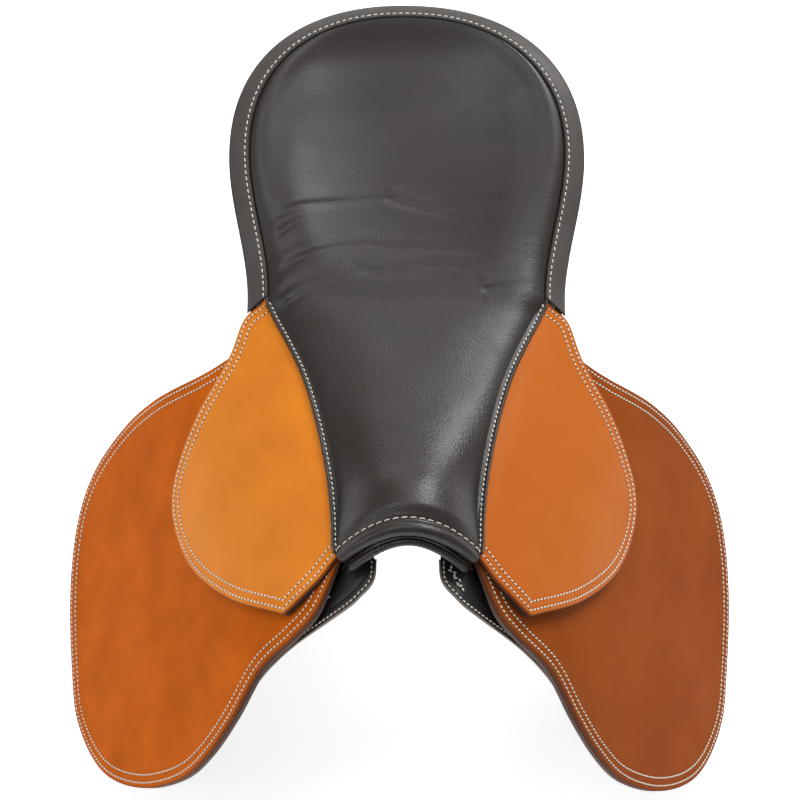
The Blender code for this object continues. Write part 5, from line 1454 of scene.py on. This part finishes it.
class SADDLE_OT_welts(bpy.types.Operator):
    """Makes the black welts between the seat and the skirts"""
    bl_idname = "saddle.welts"
    bl_label = "Seat welts"

    def execute(self, context):
        y = np.linspace(*WELT_ENDS, 260)
        x = seat_half_width(y) + WELT_SHOWN + 0.0002
        for word, side in SIDES:
            path = np.stack([side * x, y, seat_edge_height(y) + 0.0006], axis=1)
            along = unit(np.gradient(path, axis=0))
            up = unit(np.array([0.0, 0.0, 1.0]) - along[:, 2:] * along)
            rings = tube_rings(path, np.cross(along, up), up, WELT_SHOWN, 1.2 * WELT_SHOWN, 12)
            new_piece(tube_mesh(f"seat_welt_cord_{word}", rings), MATERIALS["seat"], "saddle",
                      [f"seat_welt_{word}"], 70)
        return {"FINISHED"}


# Each panel section runs round from its gullet top: right half, (x, z) at each y
PANEL_SECTIONS = (
    (-0.257, ((0.025, 0.070), (0.032, 0.060), (0.042, 0.046), (0.072, 0.012),
              (0.098, -0.020), (0.096, -0.027), (0.070, 0.002), (0.038, 0.038))),
    (-0.250, ((0.020, 0.077), (0.031, 0.063), (0.040, 0.050), (0.077, 0.012),
              (0.108, -0.026), (0.103, -0.036), (0.073, -0.006), (0.036, 0.036))),
    (-0.236, ((0.020, 0.077), (0.031, 0.063), (0.040, 0.050), (0.077, 0.012),
              (0.112, -0.030), (0.102, -0.046), (0.073, -0.022), (0.034, 0.027))),
    (-0.205, ((0.023, 0.064), (0.034, 0.054), (0.044, 0.042), (0.086, 0.009),
              (0.116, -0.030), (0.100, -0.048), (0.072, -0.028), (0.035, 0.022))),
    (-0.160, ((0.027, 0.054), (0.040, 0.050), (0.052, 0.043), (0.094, 0.012),
              (0.120, -0.026), (0.100, -0.040), (0.064, -0.014), (0.036, 0.026))),
    (-0.100, ((0.030, 0.052), (0.050, 0.050), (0.068, 0.045), (0.110, 0.018),
              (0.127, -0.012), (0.096, -0.024), (0.054, -0.004), (0.034, 0.026))),
    (-0.030, ((0.033, 0.051), (0.062, 0.050), (0.092, 0.050), (0.116, 0.040),
              (0.124, 0.010), (0.090, -0.008), (0.050, 0.003), (0.034, 0.028))),
    (0.040, ((0.033, 0.052), (0.066, 0.052), (0.100, 0.062), (0.1245, 0.060),
             (0.121, 0.026), (0.085, 0.006), (0.047, 0.010), (0.033, 0.032))),
    (0.110, ((0.033, 0.062), (0.064, 0.062), (0.102, 0.079), (0.1275, 0.082),
             (0.120, 0.046), (0.082, 0.024), (0.045, 0.023), (0.032, 0.044))),
    (0.165, ((0.032, 0.077), (0.056, 0.082), (0.080, 0.094), (0.104, 0.102),
             (0.098, 0.068), (0.068, 0.046), (0.041, 0.042), (0.031, 0.060))),
    (0.196, ((0.031, 0.090), (0.044, 0.095), (0.056, 0.101), (0.070, 0.108),
             (0.066, 0.086), (0.051, 0.072), (0.036, 0.068), (0.030, 0.080))),
)


# How far a panel's rounded end reaches
PANEL_NOSE = 0.0075


def closed_spline(knots, steps):
    """A smooth closed curve: the uniform cubic B-spline of its knots, (1, 4, 1) / 6 at each knot, along
    the first axis."""
    t = np.linspace(0, 1, steps, endpoint=False)
    weights = np.stack([(1 - t) ** 3, 3 * t**3 - 6 * t**2 + 4, -3 * t**3 + 3 * t**2 + 3 * t + 1, t**3]) / 6
    shifted = np.stack([np.roll(knots, 1 - k, axis=0) for k in range(4)])
    return np.einsum("kt,kn...->nt...", weights, shifted).reshape(-1, *knots.shape[1:])


class SADDLE_OT_panels(bpy.types.Operator):
    """Makes the two stuffed panels, blown up by Cloth between their seams"""
    bl_idname = "saddle.panels"
    bl_label = "Panels"

    def execute(self, context):
        stations = np.array([y for y, _ in PANEL_SECTIONS])
        sections = np.array([ring for _, ring in PANEL_SECTIONS], float)
        rings = np.moveaxis(closed_spline(np.moveaxis(sections, 0, 1), 7), 0, 1)
        y = np.concatenate([[-0.2565, -0.2560], np.linspace(-0.2540, 0.1935, 84), [0.1955]])
        flat = through(np.column_stack([stations, rings.reshape(len(stations), -1)]), y)
        rings = flat.reshape(len(y), -1, 2)
        grid = np.stack([rings[..., 0], np.broadcast_to(y[:, None], rings.shape[:2]), rings[..., 1]], axis=2)
        # Both ends close in a rounded nose: each end ring shrinks about its middle
        end = np.minimum(y - y[0], y[-1] - y)[:, None, None]
        shrink = np.sqrt(1 - (1 - np.clip(end / PANEL_NOSE, 0.0, 1.0)) ** 2)
        middle = grid.mean(axis=1, keepdims=True)
        grid = middle + (grid - middle) * (0.35 + 0.65 * shrink)
        mesh = tube_mesh("panel_bag", grid)
        turned_out(mesh)
        high = np.zeros(grid.shape[:2], bool)
        high[:, :24] = True
        high[:3] = high[-3:] = True
        pins = np.concatenate([high.ravel(), [True, True]])
        filled = blown_up("panel_bag", mesh, pins, PANEL_SWELL)
        for word, side in SIDES:
            mesh = tube_mesh(f"stuffed_panel_{word}", filled[:-2].reshape(grid.shape) * [side, 1, 1])
            write_edge(mesh)
            panel = new_piece(mesh, MATERIALS["black"], "saddle", [f"panel_{word}"], 80)
            smooth = panel.modifiers.new("smooth", "SUBSURF")
            smooth.levels = smooth.render_levels = 1
        return {"FINISHED"}


class SADDLE_OT_straps(bpy.types.Operator):
    """Makes the girth straps with their punched holes, and the webs that carry them"""
    bl_idname = "saddle.straps"
    bl_label = "Girth straps"

    def execute(self, context):
        half = STRAP_WIDTH / 2
        for word, side in SIDES:
            for place, centre, length in STRAPS:
                end = STRAP_TOP + length
                outline = [(centre + half * across, down) for across, down in
                           ((-1, STRAP_TOP), (1, STRAP_TOP), (1, end - half), (0.4, end), (-0.4, end),
                            (-1, end - half))]
                turn = np.linspace(0, 2 * math.pi, 16, endpoint=False)
                holes = [[(centre + HOLE_RADIUS * math.cos(t), end - HOLE_MARGIN - HOLE_SPACING * i
                           + HOLE_RADIUS * math.sin(t)) for t in turn] for i in range(HOLE_COUNT)]
                mesh = bent_plate(f"girth_strap_{place}_leather_{word}", [outline] + holes,
                                  STRAP_TOP_FACE - STRAP_THICKNESS, STRAP_TOP_FACE, side)
                write_edge(mesh)
                strap = new_piece(mesh, MATERIALS["strap"], f"girth_strap_{place}_{word}",
                                  [f"girth_strap_{place}_{word}"], 30)
                bevelled(strap, 0.0005, 50)
                across = np.linspace(-half, half, 12)
                down = np.linspace(WEB_TOP, WEB_END, 60)
                pattern = np.stack(np.meshgrid(centre + across, down), axis=2)
                mesh = block_mesh(f"girth_web_{place}_flax_{word}", on_leaf(pattern, WEB_TOP_FACE, side),
                                  on_leaf(pattern, WEB_TOP_FACE - WEB_THICKNESS, side))
                new_piece(mesh, MATERIALS["web"], "saddle", [f"girth_web_{place}_{word}"])
                run = even_run(STRAP_BOX + np.array([centre, 0.0]), 300)
                stitch_row(f"girth_strap_{place}_box_stitches_{word}", on_leaf(run, STRAP_TOP_FACE, side),
                           leaf_normal(run, side), BOX_PITCH, BOX_THREAD, f"girth_strap_{place}_{word}",
                           holes=False)
        return {"FINISHED"}


def bent_plate(name, loops, low, high, side):
    """A flat outline with holes, filled and cut every 5 mm down the leaf, then bent over the leaf form."""
    curve = bpy.data.curves.new(name, "CURVE")
    curve.dimensions = "2D"
    curve.fill_mode = "BOTH"
    curve.extrude = (high - low) / 2
    for loop in loops:
        spline = curve.splines.new("POLY")
        spline.points.add(len(loop) - 1)
        points = np.column_stack([np.array(loop), np.zeros(len(loop)), np.ones(len(loop))])
        spline.points.foreach_set("co", points.astype(np.float32).ravel())
        spline.use_cyclic_u = True
    obj = placed(name, curve)
    bpy.context.view_layer.update()
    mesh = bpy.data.meshes.new_from_object(obj.evaluated_get(bpy.context.evaluated_depsgraph_get()))
    bpy.data.objects.remove(obj)
    mesh.name = name
    bm = bmesh.new()
    bm.from_mesh(mesh)
    bmesh.ops.remove_doubles(bm, verts=bm.verts, dist=1e-6)
    for line in np.arange(STRAP_TOP + 0.0051, STRAP_TOP + 0.24, 0.005):
        bmesh.ops.bisect_plane(bm, geom=bm.verts[:] + bm.edges[:] + bm.faces[:], dist=1e-7,
                               plane_co=(0, float(line), 0), plane_no=(0, 1, 0))
    bm.to_mesh(mesh)
    bm.free()
    points = mesh_points(mesh)
    height = (low + high) / 2 + points[:, 2]
    mesh.vertices.foreach_set("co", on_leaf(points[:, :2], height, side).astype(np.float32).ravel())
    mesh.update()
    return mesh


class SADDLE_OT_inner_pieces(bpy.types.Operator):
    """Finishes the webs under the seat, the point pockets and the bridge between the panels"""
    bl_idname = "saddle.inner_pieces"
    bl_label = "Webs, pockets and bridge"

    def execute(self, context):
        for name, new_name, material, slot, soft in (
                ("strainer_web", "strainer_flax_web", "web", "webbing", 0.0003),
                ("point_pocket", "point_pocket_leather", "black", "black_leather", 0.0005)):
            for word, _ in SIDES:
                softened_copy(f"{name}_{word}", f"{new_name}_{word}", material, soft)
        softened_copy("panel_rear_bridge", "panel_bridge_leather", "black", 0.0006)
        return {"FINISHED"}


def softened_copy(node, name, material, width):
    """A CAD node's own mesh, its doubles merged and its flat faces joined, with its edges rounded."""
    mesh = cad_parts[node].data.copy()
    mesh.name = name
    mesh.materials.clear()
    bm = bmesh.new()
    bm.from_mesh(mesh)
    bmesh.ops.remove_doubles(bm, verts=bm.verts, dist=1e-6)
    bmesh.ops.dissolve_limit(bm, angle_limit=math.radians(1.0), verts=bm.verts, edges=bm.edges)
    bm.to_mesh(mesh)
    bm.free()
    write_edge(mesh)
    piece = new_piece(mesh, MATERIALS[material], "saddle", [node], 50)
    bevelled(piece, width, 40)


class SADDLE_OT_stage(bpy.types.Operator):
    """Sets the pale floor, the soft boxes, the white surround and the photograph's camera"""
    bl_idname = "saddle.stage"
    bl_label = "Stage"

    def execute(self, context):
        scene = context.scene
        stage = scene.saddle_stage
        scene.view_settings.view_transform = "Standard"
        scene.view_settings.look = "None"
        corners = [(x * FLOOR_REACH, y * FLOOR_REACH, FLOOR_Z)
                   for x, y in ((-1, -1), (1, -1), (1, 1), (-1, 1))]
        mesh = mesh_of_faces("floor", corners, np.array([[0, 1, 2, 3]]))
        paper = new_material("white_paper", Base_Color=linear("#F7F7F7"), Roughness=0.9,
                             Specular_IOR_Level=0.1, Emission_Color=linear("#FFFFFF"),
                             Emission_Strength=stage.table)[0]
        mesh.materials.append(paper)
        placed("floor", mesh)
        world = bpy.data.worlds.new("studio")
        world.use_nodes = True
        surround = world.node_tree.nodes["Background"]
        surround.inputs[0].default_value = linear("#FFFFFF")
        surround.inputs[1].default_value = stage.sky
        scene.world = world
        for name, (place, size) in LIGHTS.items():
            light = bpy.data.lights.new(name, "AREA")
            light.shape = "RECTANGLE"
            light.size, light.size_y = size
            light.energy = getattr(stage, name)
            placed(name, light).matrix_world = looking(place, LIGHTS_AIM, 0.0)
        camera = bpy.data.cameras.new("photograph")
        camera.angle = 2 * math.atan(PICTURE_SIZE / 2 / FOCAL_PIXELS)
        camera.clip_start = 0.05
        view = placed("photograph", camera)
        view.matrix_world = looking(EYE, AIM, ROLL)
        scene.camera = view
        return {"FINISHED"}


def looking(place, at, roll):
    """The matrix of something at a place that looks at a point, with X level before it rolls."""
    back = unit(np.subtract(place, at).astype(float))
    right = unit(np.cross([0.0, 0.0, 1.0], back))
    up = np.cross(back, right)
    turn = math.radians(roll)
    matrix = Matrix.Identity(4)
    columns = (right * math.cos(turn) + up * math.sin(turn),
               up * math.cos(turn) - right * math.sin(turn), back, place)
    for number, column in enumerate(columns):
        for row in range(3):
            matrix[row][number] = column[row]
    return matrix


class SADDLE_PT_sidebar(bpy.types.Panel):
    """Lists the saddle's settings and pieces"""
    bl_idname = "SADDLE_PT_sidebar"
    bl_label = "Exercise saddle"
    bl_space_type = "VIEW_3D"
    bl_region_type = "UI"
    bl_category = "Saddle"

    def draw(self, context):
        for group in (context.scene.saddle_looks, context.scene.saddle_sizes, context.scene.saddle_stage):
            box = self.layout.box()
            for key in group.bl_rna.properties.keys():
                if key not in ("rna_type", "name"):
                    box.prop(group, key)
        for operator in OPERATORS:
            self.layout.operator(operator.bl_idname)


OPERATORS = (SADDLE_OT_finishes, SADDLE_OT_leaves, SADDLE_OT_sweat_flaps, SADDLE_OT_seat, SADDLE_OT_cantle,
             SADDLE_OT_pommel, SADDLE_OT_welts, SADDLE_OT_panels, SADDLE_OT_straps, SADDLE_OT_inner_pieces,
             SADDLE_OT_stage)
GROUPS = (("saddle_looks", SaddleLooks), ("saddle_sizes", SaddleSizes), ("saddle_stage", SaddleStage))


def register():
    for name, group in GROUPS:
        bpy.utils.register_class(group)
        setattr(bpy.types.Scene, name, bpy.props.PointerProperty(type=group))
    for operator in OPERATORS:
        bpy.utils.register_class(operator)
    bpy.utils.register_class(SADDLE_PT_sidebar)


def unregister():
    bpy.utils.unregister_class(SADDLE_PT_sidebar)
    for operator in reversed(OPERATORS):
        bpy.utils.unregister_class(operator)
    for name, group in reversed(GROUPS):
        delattr(bpy.types.Scene, name)
        bpy.utils.unregister_class(group)


def main():
    register()
    for operator in OPERATORS:
        group, name = operator.bl_idname.split(".")
        getattr(getattr(bpy.ops, group), name)()


if __name__ == "__main__":
    main()
